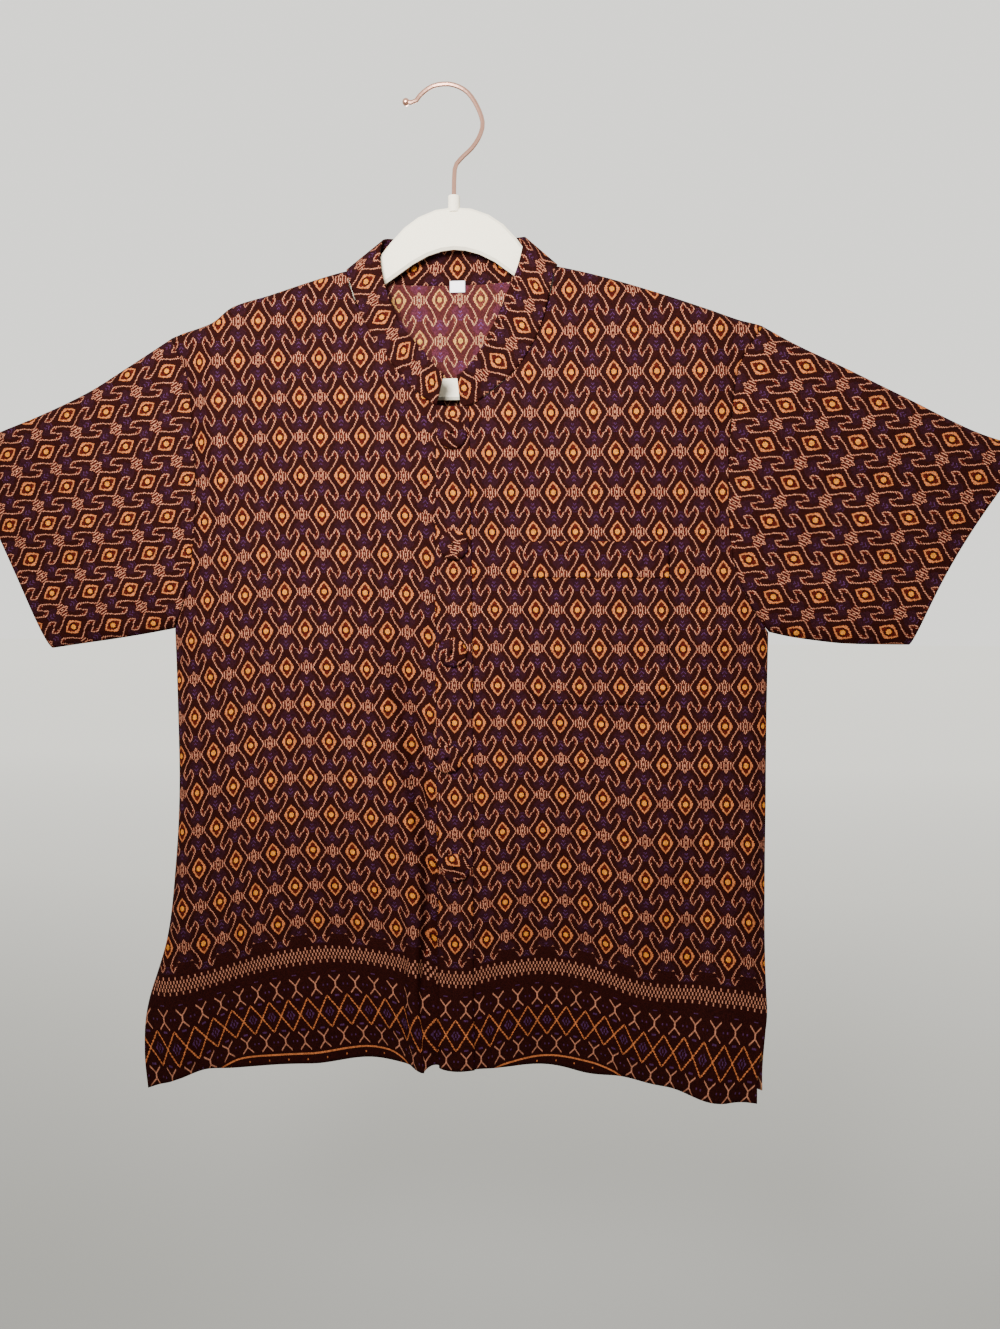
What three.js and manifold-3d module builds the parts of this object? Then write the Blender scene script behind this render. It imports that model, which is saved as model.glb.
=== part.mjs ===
// A short-sleeved silk shirt with a stand collar, hanging flat on a slim velvet hanger.
// Millimetres, +Z up, +X towards the wearer's left, the front faces -Y.
// The origin is the inside top of the hanger's hook, where a rail or peg carries it.
import * as THREE from 'three';
import { mergeVertices } from 'three/addons/utils/BufferGeometryUtils.js';
import Module from 'manifold-3d';

const wasm = await Module();
wasm.setup();

// ---- Driving sizes -------------------------------------------------------------------------
const CLOTH = 1.2; // wall of one layer of cloth
const COLLAR_CLOTH = 1.6; // two layers and their stiffener
const SEAM = 0.3; // gap between sewn pieces
const COLLAR_TURN_X = 79; // beyond this the collar turns sharply over the shoulder
const COLLAR_TURN_GAP = 1.2; // and stands this much clearer of its seam
const SHOULDER_ROLL = 10; // height over which the cloth opens out below the shoulder line
const ARM_ROOM = 8; // half the hollow that the hanger's arms keep open, right out to the sleeves
const ARMPIT_Z = -452;
const PLACKET_LEFT = -11.4; // free edge of the button placket at the neck
const PLACKET_RIGHT = 16;
const PLACKET_DROP = 0.6; // height by which the placket's top stays below the neckline
const UNDERLAP_X = 14; // hidden edge of the front that lies under the placket
const UNDERLAP_TUCK = 2.3; // how far that front steps back behind the other one
const TUCK_START = -27; // between these it makes that step
const TUCK_END = -15;
const VENT_TOP_Z = -772;
const VENT_RISE = 70; // height over which a side vent opens fully

// How the cloth falls.
const FOLD_GROWTH = 1.6; // power by which a fold opens out down its length
const FOLD_FADE = 0.25; // share of its length over which a fold dies out past its ends
const SIDE_HOLD = 4; // how firmly the side seams keep folds away
const COLUMN_EASE = 0.7; // how soon the columns leave the neckline's crowding
const NORMAL_STEP = 0.4; // distance over which slopes are measured
const ARMHOLE_GAP = { top: 0.4, armpit: 0.9 };
const SLEEVE_JOIN = 0.4; // share of a sleeve over which the body's depth turns into its own
const SLEEVE_FULLNESS = 6; // higher makes the sleeve's section flatter with rounder edges

const POCKET = { left: 61, right: 182, top: -375, bottom: -512, corner: 14, band: 30, lean: -2 };
const POCKET_BAND_LIFT = 0.1; // extra clearance of the pocket and its band
const BUTTON = { radius: 12.5, foot: 11, height: 4.6, rim: 2.2, lift: 0.75, sides: 20 };
const BUTTON_DOME = [0, 15, 35, 60, 90]; // degrees up the dome
const BUTTONS = [
  { x: 1.8, z: -286 },
  { x: 2.4, z: -378 },
  { x: 0.5, z: -469 },
  { x: -4, z: -562 },
  { x: 2.7, z: -658 },
];
const LABEL = { left: -6, right: 9, top: -153, bottom: -163, thickness: 0.9 };

const HANGER = {
  thickness: 6,
  bevel: 2.2,
  play: 0.7, // gap between its arms and the cloth they carry
  endLeft: -214,
  endRight: 224,
  barTop: -236,
  barBottom: -254,
};
const HANGER_TIP = { reach: 10, dropLeft: 2.5, dropRight: 4, side: -214, turn: 22, window: 34 };
const HANGER_NECK = { radius: 5, top: -87, bottom: -100, boreDepth: 10 };
const WIRE_RADIUS = 1.9;
const BALL_RADIUS = 3.1;

// ---- Tables, each row with named columns ---------------------------------------------------
function table(names, rows) {
  return rows.map((row) => Object.fromEntries(names.map((name, i) => [name, row[i]])));
}

// Sections of the body from the hem up: where its two sides close, how far front and back stand
// off the middle plane, how boxy the section is, and how far the sides curl forward.
const BODY = table(['z', 'left', 'right', 'front', 'back', 'boxy', 'curl'], [
  [-880, -282, 276.5, 7, 20, 1, 36],
  [-838, -287, 276, 11, 20, 1, 30],
  [-800, -285, 275, 15, 19, 1, 23],
  [-735, -267.5, 272, 20, 18, 1, 13],
  [-667, -260, 271, 22, 17, 0.9, 6],
  [-600, -256, 270.5, 22, 16, 0.8, 2],
  [-520, -255.5, 269.5, 22, 15, 0.7, 0],
  [-452, -255.5, 269, 23, 14, 0.6, 0],
  [-380, -256, 269, 24, 13, 0.4, 0],
  [-300, -256, 269, 25, 13, 0.2, 0],
  [-245, -256, 269, 23, 12, 0.1, 0],
  [-200, -256, 269, 17, 11, 0, 0],
  [-165, -256, 269, 11, 9, 0, 0],
  [-130, -256, 269, 8, 8, 0, 0],
]);

// The shoulder line, from the left sleeve's head over the neck to the right one.
const SHOULDER = table(['x', 'z'], [
  [-256, -200], [-250, -197.5], [-237, -193], [-222, -189], [-209, -184], [-193, -172.5],
  [-160, -163.5], [-118, -151.5], [-91, -145], [-45, -138], [0, -136], [45, -138],
  [87, -146.2], [123, -155], [173, -170.5], [212, -184], [237, -193], [257, -198.5], [269, -205],
]);

// The front neckline, and the hem of the fronts and of the back.
const NECKLINE = table(['x', 'z'], [
  [-91, -145], [-89.5, -153], [-87, -162], [-82, -175], [-75, -189], [-67, -203], [-56, -218],
  [-40, -240], [-27, -252], [-17, -259], [-11.4, -262], [2.3, -263.5], [16, -263], [33, -252],
  [50, -238], [58, -229], [65, -218], [71, -207], [76, -194], [80, -181], [83, -168],
  [85.3, -156], [87, -146.2],
]);
const BACK_NECK = table(['x', 'z'], [
  [-91, -145], [-75, -150], [-50, -155], [0, -157], [50, -155], [72, -150.5], [87, -146.2],
]);
const FRONT_HEM = table(['x', 'z'], [
  [-255.5, -871], [-240, -865], [-228, -859], [-211, -856], [-190, -856], [-145, -853],
  [-90, -852], [-45, -850], [-27, -850.5], [-20, -846], [-11, -847.5], [20, -847], [38, -849.5],
  [60, -850], [96, -851.5], [150, -852], [200, -854], [240, -857], [269, -857],
]);
const BACK_HEM = table(['x', 'z'], [
  [-255.5, -866], [-200, -857], [0, -853], [200, -853], [269, -850],
]);

// The armholes: fraction of the way down from the shoulder to the armpit, and where they lie.
const ARMHOLES = table(['down', 'left', 'right'], [
  [0, -250, 257], [0.13, -233, 238], [0.34, -228, 231], [0.55, -226.5, 230.5], [0.76, -233, 236],
  [0.88, -241, 248], [0.95, -247, 259], [1, -255.5, 269],
]);

// Columns of a front, from its middle edge to its side: where each starts at the top edge and
// where it runs at the armpit's height and below.
const FRONT_RIGHT_COLUMNS = table(['top', 'low'], [
  [UNDERLAP_X, UNDERLAP_X], [2.3, 0], [PLACKET_LEFT, -15], [-17, -20], [-27, -27], [-40, -36],
  [-56, -49], [-67, -68], [-75, -90], [-82, -112], [-87, -134], [-89.5, -155], [-91, -175],
  [-118, -194], [-146, -211], [-174, -226], [-193, -238], [-209, -247], [-228, -253],
  [-250, -255.5],
]);
const FRONT_LEFT_COLUMNS = table(['top', 'low'], [
  [PLACKET_LEFT, -14], [2.3, 2.3], [PLACKET_RIGHT, 17.8], [33, 34], [50, 54],
  [58, 76], [65, 98], [71, 120], [76, 142], [80, 163], [83, 183], [85.3, 202], [87, 219],
  [118, 233], [148, 245], [178, 255], [206, 262], [226, 266.5], [243, 268.5], [257, 269],
]);
const BACK_COLUMNS = table(['top', 'low'], [
  [-250, -255.5], [-228, -252], [-209, -245], [-193, -235], [-174, -221], [-146, -203],
  [-118, -182], [-91, -158], [-75, -130], [-50, -98], [-25, -64], [0, -28], [25, 10], [50, 48],
  [72, 86], [87, 122], [118, 157], [148, 189], [178, 216], [206, 238], [226, 254], [243, 264.5],
  [257, 269],
]);

// Rows of the body: fractions of the way down to the armpit, then from the armpit to the hem.
const UPPER_ROWS = [0, 0.005, 0.026, 0.08, 0.165, 0.29, 0.43, 0.58, 0.72, 0.84, 0.93, 0.983, 1];
const LOWER_ROWS = [0.1, 0.2, 0.3, 0.4, 0.5, 0.59, 0.68, 0.76, 0.84, 0.92, 1];

// Folds: the middle of each at its upper and lower end, how far it stands out there (hollows
// are negative) and its half width.
const FOLD_COLUMNS = ['topX', 'topZ', 'topOut', 'lowX', 'lowZ', 'lowOut', 'half'];
const FRONT_FOLDS = table(FOLD_COLUMNS, [
  [-46, -560, 0, -28, -858, 15, 15],
  [-49, -250, 3, -33, -345, 0, 12],
  [2, -560, 0, 3, -858, 13, 42],
  [-95, -600, 0, -84, -858, -14, 52],
  [90, -620, 0, 84, -858, -16, 58],
  [150, -700, 0, 146, -858, -7, 36],
  [-262, -750, 0, -252, -868, 13, 26],
  [236, -690, 0, 224, -858, 12, 36],
  [-206, -225, 3, -214, -430, 0, 22],
  [214, -225, 3, 222, -430, 0, 24],
]);
const BACK_FOLDS = table(FOLD_COLUMNS, [
  [-150, -560, 0, -165, -858, -9, 60],
  [60, -600, 0, 40, -858, -7, 70],
  [170, -560, 0, 190, -858, -8, 55],
  [-60, -560, 0, -62, -858, 3, 50],
]);

// Stations round the collar from its left front end, behind the neck, to its right front end.
// Each gives the seam's x (on the front neckline or the back one) and the free edge.
const COLLAR = table(['panel', 'seamX', 'topX', 'topY', 'topZ'], [
  ['front', -11.9, -4.8, -27.5, -237.4],
  ['front', -17, -8.5, -28, -234.5],
  ['front', -27, -14.5, -27.5, -228.5],
  ['front', -40, -23.5, -26.5, -216.5],
  ['front', -56, -37, -23, -202],
  ['front', -67, -45, -20, -190],
  ['front', -75, -51, -16.5, -176.5],
  ['front', -82, -56.5, -12, -161.5],
  ['front', -87, -60.5, -9, -145],
  ['front', -89.5, -61.5, -6, -131],
  ['shoulder', -91, -59.5, 0.5, -121],
  ['back', -75, -50, 7.5, -117.5],
  ['back', -50, -35, 11, -117],
  ['back', -25, -18, 12.3, -117.5],
  ['back', 0, 0, 12.7, -117.5],
  ['back', 25, 18, 12.3, -117.5],
  ['back', 50, 35, 11, -118],
  ['back', 72, 50, 7.5, -119.5],
  ['shoulder', 87, 59.5, 0.5, -122.5],
  ['front', 85.3, 59, -6, -130],
  ['front', 83, 56, -9, -144],
  ['front', 80, 51.5, -12, -158],
  ['front', 76, 46.5, -16, -171],
  ['front', 71, 41.5, -19, -184],
  ['front', 65, 36.5, -22, -196],
  ['front', 58, 31, -24.5, -206.5],
  ['front', 50, 26, -26, -217],
  ['front', 33, 15.5, -28, -231],
  ['front', 16, 8, -29, -238],
]);
const COLLAR_ROWS = [0, 0.33, 0.67, 1];

// Sections of the sleeves from the armhole out: top and bottom edge, and half the hollow.
const SLEEVE_COLUMNS = ['out', 'topX', 'topZ', 'lowX', 'lowZ', 'front', 'back'];
const LEFT_SLEEVE = table(SLEEVE_COLUMNS, [
  [0, -250, -197.5, -255.5, -452, 10, 9],
  [0.17, -287, -219, -277, -456, 11, 9],
  [0.36, -327, -241.5, -298, -459.5, 11, 9],
  [0.56, -370, -260, -321, -463, 11, 9],
  [0.77, -410, -274.5, -346, -466.5, 10, 9],
  [1, -449, -289, -373, -470.5, 9, 8],
]);
const RIGHT_SLEEVE = table(SLEEVE_COLUMNS, [
  [0, 257, -198.5, 269, -452, 10, 9],
  [0.13, 283, -213, 285, -455.5, 11, 9],
  [0.3, 320, -231, 306, -458.5, 11, 9],
  [0.53, 369, -255.5, 331, -461, 11, 9],
  [0.8, 430, -286, 362, -461.5, 10, 9],
  [1, 472, -300, 385, -461.5, 9, 8],
]);
const SLEEVE_HEM_DIP = { left: 1, right: 8 }; // how far the hem curves in from a straight line
const SLEEVE_RINGS = [0, 0.12, 0.28, 0.46, 0.64, 0.82, 1];

// The hanger's hump above the arms, and the arms' underside down to the bar.
const HUMP = table(['x', 'z'], [
  [-92, -150], [-83, -149], [-75, -144], [-65, -136], [-53.5, -122.5], [-42, -111], [-30, -103],
  [-15, -97.5], [0, -96], [15, -97.5], [30, -103], [42, -111], [53, -122.5], [63, -136],
  [73, -144], [81, -149.5], [90, -151],
]);
const ARM_UNDERSIDE = table(['x', 'z'], [
  [-196, -214], [-188, -205], [-160, -193], [-120, -181], [-90, -171], [-61, -158], [-48, -149.5],
  [-35, -141], [-22, -134.5], [-10, -131], [0, -130], [10, -131], [22, -134.5], [35, -141],
  [48, -150.5], [61, -159], [90, -172], [120, -183], [160, -197], [196, -209], [206, -218],
]);

// The hook's wire, from the ball at its tip over the top and down into the neck.
const HOOK_PATH = table(['x', 'z'], [
  [-39.7, -10.1], [-32.5, -10.4], [-28.2, -5.8], [-22.7, -1.4], [-16.8, 1.5], [-10, 2.6],
  [-0.8, 2], [10.9, -3.6], [19.6, -15], [24.7, -29.8], [22.1, -39.6], [15.7, -48.8],
  [8.2, -55.3], [2, -62], [0.8, -69.5], [0.4, -80],
]);

// Where the hanger's arms follow the shoulder line.
const ARM_LEFT_X = [-193, -174, -160, -146, -132, -118, -105];
const ARM_RIGHT_X = [103, 118, 133, 148, 163, 178, 192, 206];

// ---- Small maths ---------------------------------------------------------------------------
const mix = THREE.MathUtils.lerp;
const smooth = THREE.MathUtils.smoothstep;
const clamp = THREE.MathUtils.clamp;

// Smooth curve through one column of a table, read at a place along its first column.
function read(rows, key, column, at) {
  const last = rows.length - 1;
  const ascending = rows[last][key] > rows[0][key];
  let i = rows.findIndex((row) => (ascending ? row[key] > at : row[key] < at));
  i = clamp(i < 0 ? last : i, 1, last);
  const slope = (a, b) => (rows[b][column] - rows[a][column]) / (rows[b][key] - rows[a][key]);
  const tangent = (k) => slope(Math.max(k - 1, 0), Math.min(k + 1, last));
  const from = rows[i - 1];
  const span = rows[i][key] - from[key];
  const t = clamp((at - from[key]) / span, 0, 1);
  const chord = slope(i - 1, i);
  const bow = t * (1 - t) * span;
  const bend = (1 - t) * (tangent(i - 1) - chord) + t * (chord - tangent(i));
  return from[column] + t * span * chord + bow * bend;
}

function topEdgeZ(neck, x) {
  const rows = x > neck[0].x && x < neck.at(-1).x ? neck : SHOULDER;
  return read(rows, 'x', 'z', x);
}

const shoulderZ = (x) => read(SHOULDER, 'x', 'z', x);
const frontTopZ = (x) => topEdgeZ(NECKLINE, x);
const backTopZ = (x) => topEdgeZ(BACK_NECK, x);
const frontHemZ = (x) => read(FRONT_HEM, 'x', 'z', x);
const backHemZ = (x) => read(BACK_HEM, 'x', 'z', x);

// ---- The body's form -----------------------------------------------------------------------
function foldOut(folds, x, z) {
  let out = 0;
  for (const fold of folds) {
    const t = (z - fold.topZ) / (fold.lowZ - fold.topZ);
    const across = Math.abs(x - mix(fold.topX, fold.lowX, t)) / fold.half;
    if (across < 1) {
      const ends = smooth(t, -FOLD_FADE, 0) * (1 - smooth(t, 1, 1 + FOLD_FADE));
      const height = mix(fold.topOut, fold.lowOut, clamp(t, 0, 1) ** FOLD_GROWTH);
      out += height * ends * Math.cos((across * Math.PI) / 2) ** 2;
    }
  }
  return out;
}

// The surface of the front (face -1) or back (face 1) is where the squared distance from the
// middle plane equals the squared reach; both stay smooth past the seams, which gives normals.
function reachSquared(face, x, z) {
  const left = read(BODY, 'z', 'left', z);
  const right = read(BODY, 'z', 'right', z);
  const u2 = ((2 * x - left - right) / (right - left)) ** 2;
  const shape = u2 + u2 * u2;
  const depth = read(BODY, 'z', face < 0 ? 'front' : 'back', z);
  const boxy = read(BODY, 'z', 'boxy', z);
  const own = (depth - ARM_ROOM) * Math.sqrt(1 + boxy * shape);
  const full = ARM_ROOM * Math.sqrt(1 + shape) + own;
  const fall = Math.min((shoulderZ(x) - z) / SHOULDER_ROLL, 1);
  const closing = (1 - u2) * fall * (2 - fall);
  return { squared: full * full * closing, closing: Math.max(closing, 0) };
}

function middleY(face, x, z) {
  const left = read(BODY, 'z', 'left', z);
  const right = read(BODY, 'z', 'right', z);
  const u = Math.abs((2 * x - left - right) / (right - left));
  const folds = foldOut(face < 0 ? FRONT_FOLDS : BACK_FOLDS, x, z);
  const held = clamp(reachSquared(face, x, z).closing * SIDE_HOLD, 0, 1);
  return -read(BODY, 'z', 'curl', z) * u ** 3 + face * folds * held;
}

function bodyY(face, x, z) {
  return middleY(face, x, z) + face * Math.sqrt(Math.max(reachSquared(face, x, z).squared, 0));
}

function bodyNormal(face, x, z) {
  const y = bodyY(face, x, z);
  const level = (px, py, pz) => {
    const reach = reachSquared(face, px, pz);
    return (py - middleY(face, px, pz)) ** 2 - reach.squared;
  };
  const step = NORMAL_STEP;
  return new THREE.Vector3(
    level(x + step, y, z) - level(x - step, y, z),
    level(x, y + step, z) - level(x, y - step, z),
    level(x, y, z + step) - level(x, y, z - step),
  ).normalize();
}

// ---- Walls of cloth ------------------------------------------------------------------------
function wall(points, normals, { thickness = CLOTH, lift = 0, loop = false } = {}) {
  const rows = points.length;
  const columns = points[0].length;
  const positions = [];
  for (const depth of [lift, lift - thickness]) {
    points.flat().forEach((point, i) => {
      const moved = point.clone().addScaledVector(normals.flat()[i], depth);
      positions.push(moved.x, moved.y, moved.z);
    });
  }
  const id = (layer, r, c) => (layer * rows + r) * columns + (c % columns);
  const faces = [];
  const quad = (a, b, c, d) => faces.push([a, b, c], [a, c, d]);
  const spans = loop ? columns : columns - 1;
  const end = rows - 1;
  for (let c = 0; c < spans; c += 1) {
    for (let r = 0; r < end; r += 1) {
      quad(id(0, r, c), id(0, r, c + 1), id(0, r + 1, c + 1), id(0, r + 1, c));
      quad(id(1, r, c), id(1, r + 1, c), id(1, r + 1, c + 1), id(1, r, c + 1));
    }
    quad(id(0, 0, c + 1), id(0, 0, c), id(1, 0, c), id(1, 0, c + 1));
    quad(id(0, end, c), id(0, end, c + 1), id(1, end, c + 1), id(1, end, c));
  }
  for (let r = 0; r < end && !loop; r += 1) {
    quad(id(0, r, 0), id(0, r + 1, 0), id(1, r + 1, 0), id(1, r, 0));
    quad(id(0, r + 1, spans), id(0, r, spans), id(1, r, spans), id(1, r + 1, spans));
  }
  const r = Math.floor(end / 2);
  const c = Math.floor(spans / 2);
  const along = points[r][c + 1].clone().sub(points[r][c]);
  const down = points[r + 1][c].clone().sub(points[r][c]);
  const outward = along.cross(down).dot(normals[r][c]) > 0;
  const geometry = new THREE.BufferGeometry();
  geometry.setAttribute('position', new THREE.Float32BufferAttribute(positions, 3));
  geometry.setIndex(faces.flatMap(([a, b, d]) => (outward ? [a, b, d] : [a, d, b])));
  geometry.computeVertexNormals();
  return geometry;
}

// The three panels: the face they lie on, which side edge a column belongs to, and how far each
// side edge draws in below its vent.
const FRONT_RIGHT = {
  face: -1,
  columns: FRONT_RIGHT_COLUMNS,
  topZ: frontTopZ,
  hemZ: frontHemZ,
  sideOf: () => 'left',
  vent: { left: 2 },
  tuck: UNDERLAP_TUCK,
};
const FRONT_LEFT = {
  face: -1,
  columns: FRONT_LEFT_COLUMNS,
  topZ: frontTopZ,
  hemZ: frontHemZ,
  sideOf: () => 'right',
  vent: { right: 11 },
  tuck: 0,
};
const BACK = {
  face: 1,
  columns: BACK_COLUMNS,
  topZ: backTopZ,
  hemZ: backHemZ,
  sideOf: (column) => (column.low < 0 ? 'left' : 'right'),
  vent: { left: 6, right: 5 },
  tuck: 0,
};

// Place of a column on a row. Columns leave the top edge at their top place, ease to their low
// place by the armpit, and the outer ones follow the armhole and the side.
function bodyPlace(panel, column, row) {
  const name = panel.sideOf(column);
  const side = name === 'left' ? -1 : 1;
  const outer = panel.columns.reduce((a, b) => (side * b.low > side * a.low ? b : a));
  const eased = smooth(row.upper, 0, 1) ** COLUMN_EASE;
  const free = mix(column.top, column.low, eased);
  const freeOuter = mix(outer.top, outer.low, eased);
  const upperZ = mix(panel.topZ(column.top), ARMPIT_Z, row.upper);
  const z = row.lower > 0 ? mix(ARMPIT_Z, panel.hemZ(free), row.lower) : upperZ;
  const drawnIn = side * panel.vent[name] * smooth(VENT_TOP_Z - z, 0, VENT_RISE);
  const armhole = read(ARMHOLES, 'down', name, row.upper);
  const edge = row.lower > 0 ? read(BODY, 'z', name, z) - drawnIn : armhole;
  const share = clamp(free / freeOuter, 0, 1);
  return { x: free + (edge - freeOuter) * share ** 2, z };
}

const BODY_PANEL_ROWS = [
  ...UPPER_ROWS.map((upper) => ({ upper, lower: 0 })),
  ...LOWER_ROWS.map((lower) => ({ upper: 1, lower })),
];

// How far a place near the middle steps back so that the other front lies over it.
function stepBack(x, tuck) {
  return tuck * smooth(x, TUCK_START, TUCK_END);
}

function bodyPanel(panel) {
  const { face, columns, tuck } = panel;
  const points = [];
  const normals = [];
  for (const row of BODY_PANEL_ROWS) {
    const places = columns.map((column) => bodyPlace(panel, column, row));
    points.push(places.map(({ x, z }) => {
      const y = bodyY(face, x, z) + face * (SEAM / 2) + stepBack(x, tuck);
      return new THREE.Vector3(x, y, z);
    }));
    normals.push(places.map(({ x, z }) => bodyNormal(face, x, z)));
  }
  return { points, normals };
}

// ---- Sleeves -------------------------------------------------------------------------------
// One point of a sleeve: out runs from armhole to hem, down from its top edge to the underarm
// seam, face -1 is its front layer.
function sleevePoint(name, rows, out, down, face) {
  const at = (column, place) => read(rows, 'out', column, place);
  const straight = (place) => ({
    x: mix(at('topX', place), at('lowX', place), down),
    z: mix(at('topZ', place), at('lowZ', place), down),
  });
  const side = name === 'left' ? -1 : 1;
  const base = straight(out);
  const hem = -side * SLEEVE_HEM_DIP[name] * Math.sin(down * Math.PI);
  const round = Math.sqrt(Math.max(1 - Math.abs(2 * down - 1) ** SLEEVE_FULLNESS, 0));
  const own = face * at(face < 0 ? 'front' : 'back', out) * round;
  const seamX = (place) => read(ARMHOLES, 'down', name, place);
  const joined = bodyY(face, seamX(down), mix(at('topZ', 0), ARMPIT_Z, down));
  const seamRun = seamX(down + 0.01) - seamX(down - 0.01);
  const seamFall = 0.02 * (at('topZ', 0) - ARMPIT_Z);
  const width = mix(ARMHOLE_GAP.top, ARMHOLE_GAP.armpit, down ** 8) * (1 - out);
  const gap = new THREE.Vector2(side * seamFall, side * seamRun).setLength(width);
  return new THREE.Vector3(
    base.x + (seamX(down) - straight(0).x) * (1 - out) ** 2 + hem * out * out + gap.x,
    mix(joined, own, smooth(out, 0, SLEEVE_JOIN)),
    base.z + gap.y,
  );
}

// The ring's angle covers down as (1 - cos angle) / 2, so the layers close smoothly.
function sleeveAt(name, rows, out, angle) {
  const face = Math.sin(angle) >= 0 ? -1 : 1;
  return sleevePoint(name, rows, clamp(out, 0, 1), (1 - Math.cos(angle)) / 2, face);
}

function sleeve(name, rows) {
  const half = UPPER_ROWS.map((down) => Math.acos(1 - 2 * down));
  const angles = [...half, ...half.slice(1, -1).reverse().map((angle) => 2 * Math.PI - angle)];
  const points = SLEEVE_RINGS.map((out) => angles.map((angle) => sleeveAt(name, rows, out, angle)));
  const normals = SLEEVE_RINGS.map((out) => angles.map((angle) => {
    const along = sleeveAt(name, rows, out + 0.02, angle).sub(sleeveAt(name, rows, out - 0.02, angle));
    const around = sleeveAt(name, rows, out, angle + 0.03).sub(sleeveAt(name, rows, out, angle - 0.03));
    const side = name === 'left' ? 1 : -1;
    return around.cross(along).multiplyScalar(side).normalize();
  }));
  return wall(points, normals, { loop: true });
}

// ---- Collar --------------------------------------------------------------------------------
function collarSeam(station) {
  const face = station.panel === 'back' ? 1 : -1;
  const z = station.panel === 'front' ? frontTopZ(station.seamX) : backTopZ(station.seamX);
  const under = station.panel === 'front' && station.seamX < 0;
  const y = bodyY(face, station.seamX, z) + stepBack(station.seamX, under ? UNDERLAP_TUCK : 0);
  return new THREE.Vector3(station.seamX, station.panel === 'shoulder' ? 0 : y, z);
}

function collar() {
  const seams = COLLAR.map(collarSeam);
  const tops = COLLAR.map((station) => new THREE.Vector3(station.topX, station.topY, station.topZ));
  const points = COLLAR_ROWS.map((up) => COLLAR.map((_, i) => {
    const gap = Math.abs(seams[i].x) > COLLAR_TURN_X ? COLLAR_TURN_GAP : SEAM;
    const start = gap / seams[i].distanceTo(tops[i]);
    return seams[i].clone().lerp(tops[i], mix(start, 1, up));
  }));
  const last = COLLAR.length - 1;
  const normals = points.map((line) => line.map((_, i) => {
    const along = line[Math.min(i + 1, last)].clone().sub(line[Math.max(i - 1, 0)]);
    const up = tops[i].clone().sub(seams[i]);
    return along.cross(up).normalize();
  }));
  return wall(points, normals, { thickness: COLLAR_CLOTH });
}

// ---- What lies on the fronts ---------------------------------------------------------------
const leftFront = bodyPanel(FRONT_LEFT);

function placket() {
  const strip = (grid) => grid.map((row) => row.slice(0, 3).map((vector) => vector.clone()));
  const points = strip(leftFront.points);
  points[0].forEach((point) => point.setZ(point.z - PLACKET_DROP));
  return wall(points, strip(leftFront.normals), { lift: SEAM + CLOTH });
}

function onFront(x, z) {
  return new THREE.Vector3(x, bodyY(-1, x, z) - SEAM / 2, z);
}

// A patch of cloth on the front, its outline given as a function of how far down it is.
function patch(rows, columns, edges, layers) {
  const points = rows.map((z) => {
    const { left, right } = edges(z);
    return columns.map((t) => onFront(mix(left, right, t), z));
  });
  const normals = points.map((row) => row.map((point) => bodyNormal(-1, point.x, point.z)));
  return wall(points, normals, { lift: layers * (SEAM + CLOTH) + POCKET_BAND_LIFT });
}

function pocketEdges(z) {
  const down = (POCKET.top - z) / (POCKET.top - POCKET.bottom);
  const cut = clamp(POCKET.corner - (z - POCKET.bottom), 0, POCKET.corner);
  const lean = POCKET.lean * down;
  return { left: POCKET.left + cut - lean, right: POCKET.right - cut - lean };
}

const POCKET_HEIGHTS = [0, 0.11, 0.22, 0.4, 0.6, 0.8, 0.9, 1];
const POCKET_COLUMNS = [0, 0.17, 0.33, 0.5, 0.67, 0.83, 1];

function pocket() {
  const heights = POCKET_HEIGHTS.map((t) => mix(POCKET.top, POCKET.bottom, t));
  return patch(heights, POCKET_COLUMNS, pocketEdges, 1);
}

function pocketBand() {
  const heights = [0, 0.5, 1].map((t) => POCKET.top - t * POCKET.band);
  return patch(heights, POCKET_COLUMNS, pocketEdges, 2);
}

function button({ x, z }) {
  const { radius, foot, height, rim, lift, sides } = BUTTON;
  const dome = BUTTON_DOME.map((degrees) => {
    const angle = THREE.MathUtils.degToRad(degrees);
    return new THREE.Vector2(radius * Math.cos(angle), rim + (height - rim) * Math.sin(angle));
  });
  dome[dome.length - 1].x = 0;
  const seatEdge = [[0, 0], [foot, 0], [radius, 1]].map(([r, up]) => new THREE.Vector2(r, up));
  const geometry = new THREE.LatheGeometry([...seatEdge, ...dome], sides);
  const normal = bodyNormal(-1, x, z);
  const turn = new THREE.Quaternion().setFromUnitVectors(new THREE.Vector3(0, 1, 0), normal);
  const seat = onFront(x, z).addScaledVector(normal, CLOTH + lift);
  return { geometry, turn, seat };
}

function neckLabel() {
  const { left, right, top, bottom, thickness } = LABEL;
  const backInside = bodyY(1, (left + right) / 2, bottom) - CLOTH;
  const geometry = new THREE.BoxGeometry(right - left, thickness, top - bottom);
  geometry.translate((left + right) / 2, backInside - SEAM - thickness / 2, (top + bottom) / 2);
  return geometry;
}

// ---- Hanger --------------------------------------------------------------------------------
function toSolid(geometry) {
  const bare = geometry.index ? geometry.clone() : geometry;
  bare.deleteAttribute('normal');
  bare.deleteAttribute('uv');
  const merged = mergeVertices(bare, 1e-3);
  return new wasm.Manifold(new wasm.Mesh({
    numProp: 3,
    vertProperties: new Float32Array(merged.attributes.position.array),
    triVerts: new Uint32Array(merged.index.array),
  }));
}

function toGeometry(solid) {
  const mesh = solid.getMesh();
  const geometry = new THREE.BufferGeometry();
  geometry.setAttribute('position', new THREE.Float32BufferAttribute(mesh.vertProperties, 3));
  geometry.setIndex([...mesh.triVerts]);
  geometry.computeVertexNormals();
  return geometry;
}

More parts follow.
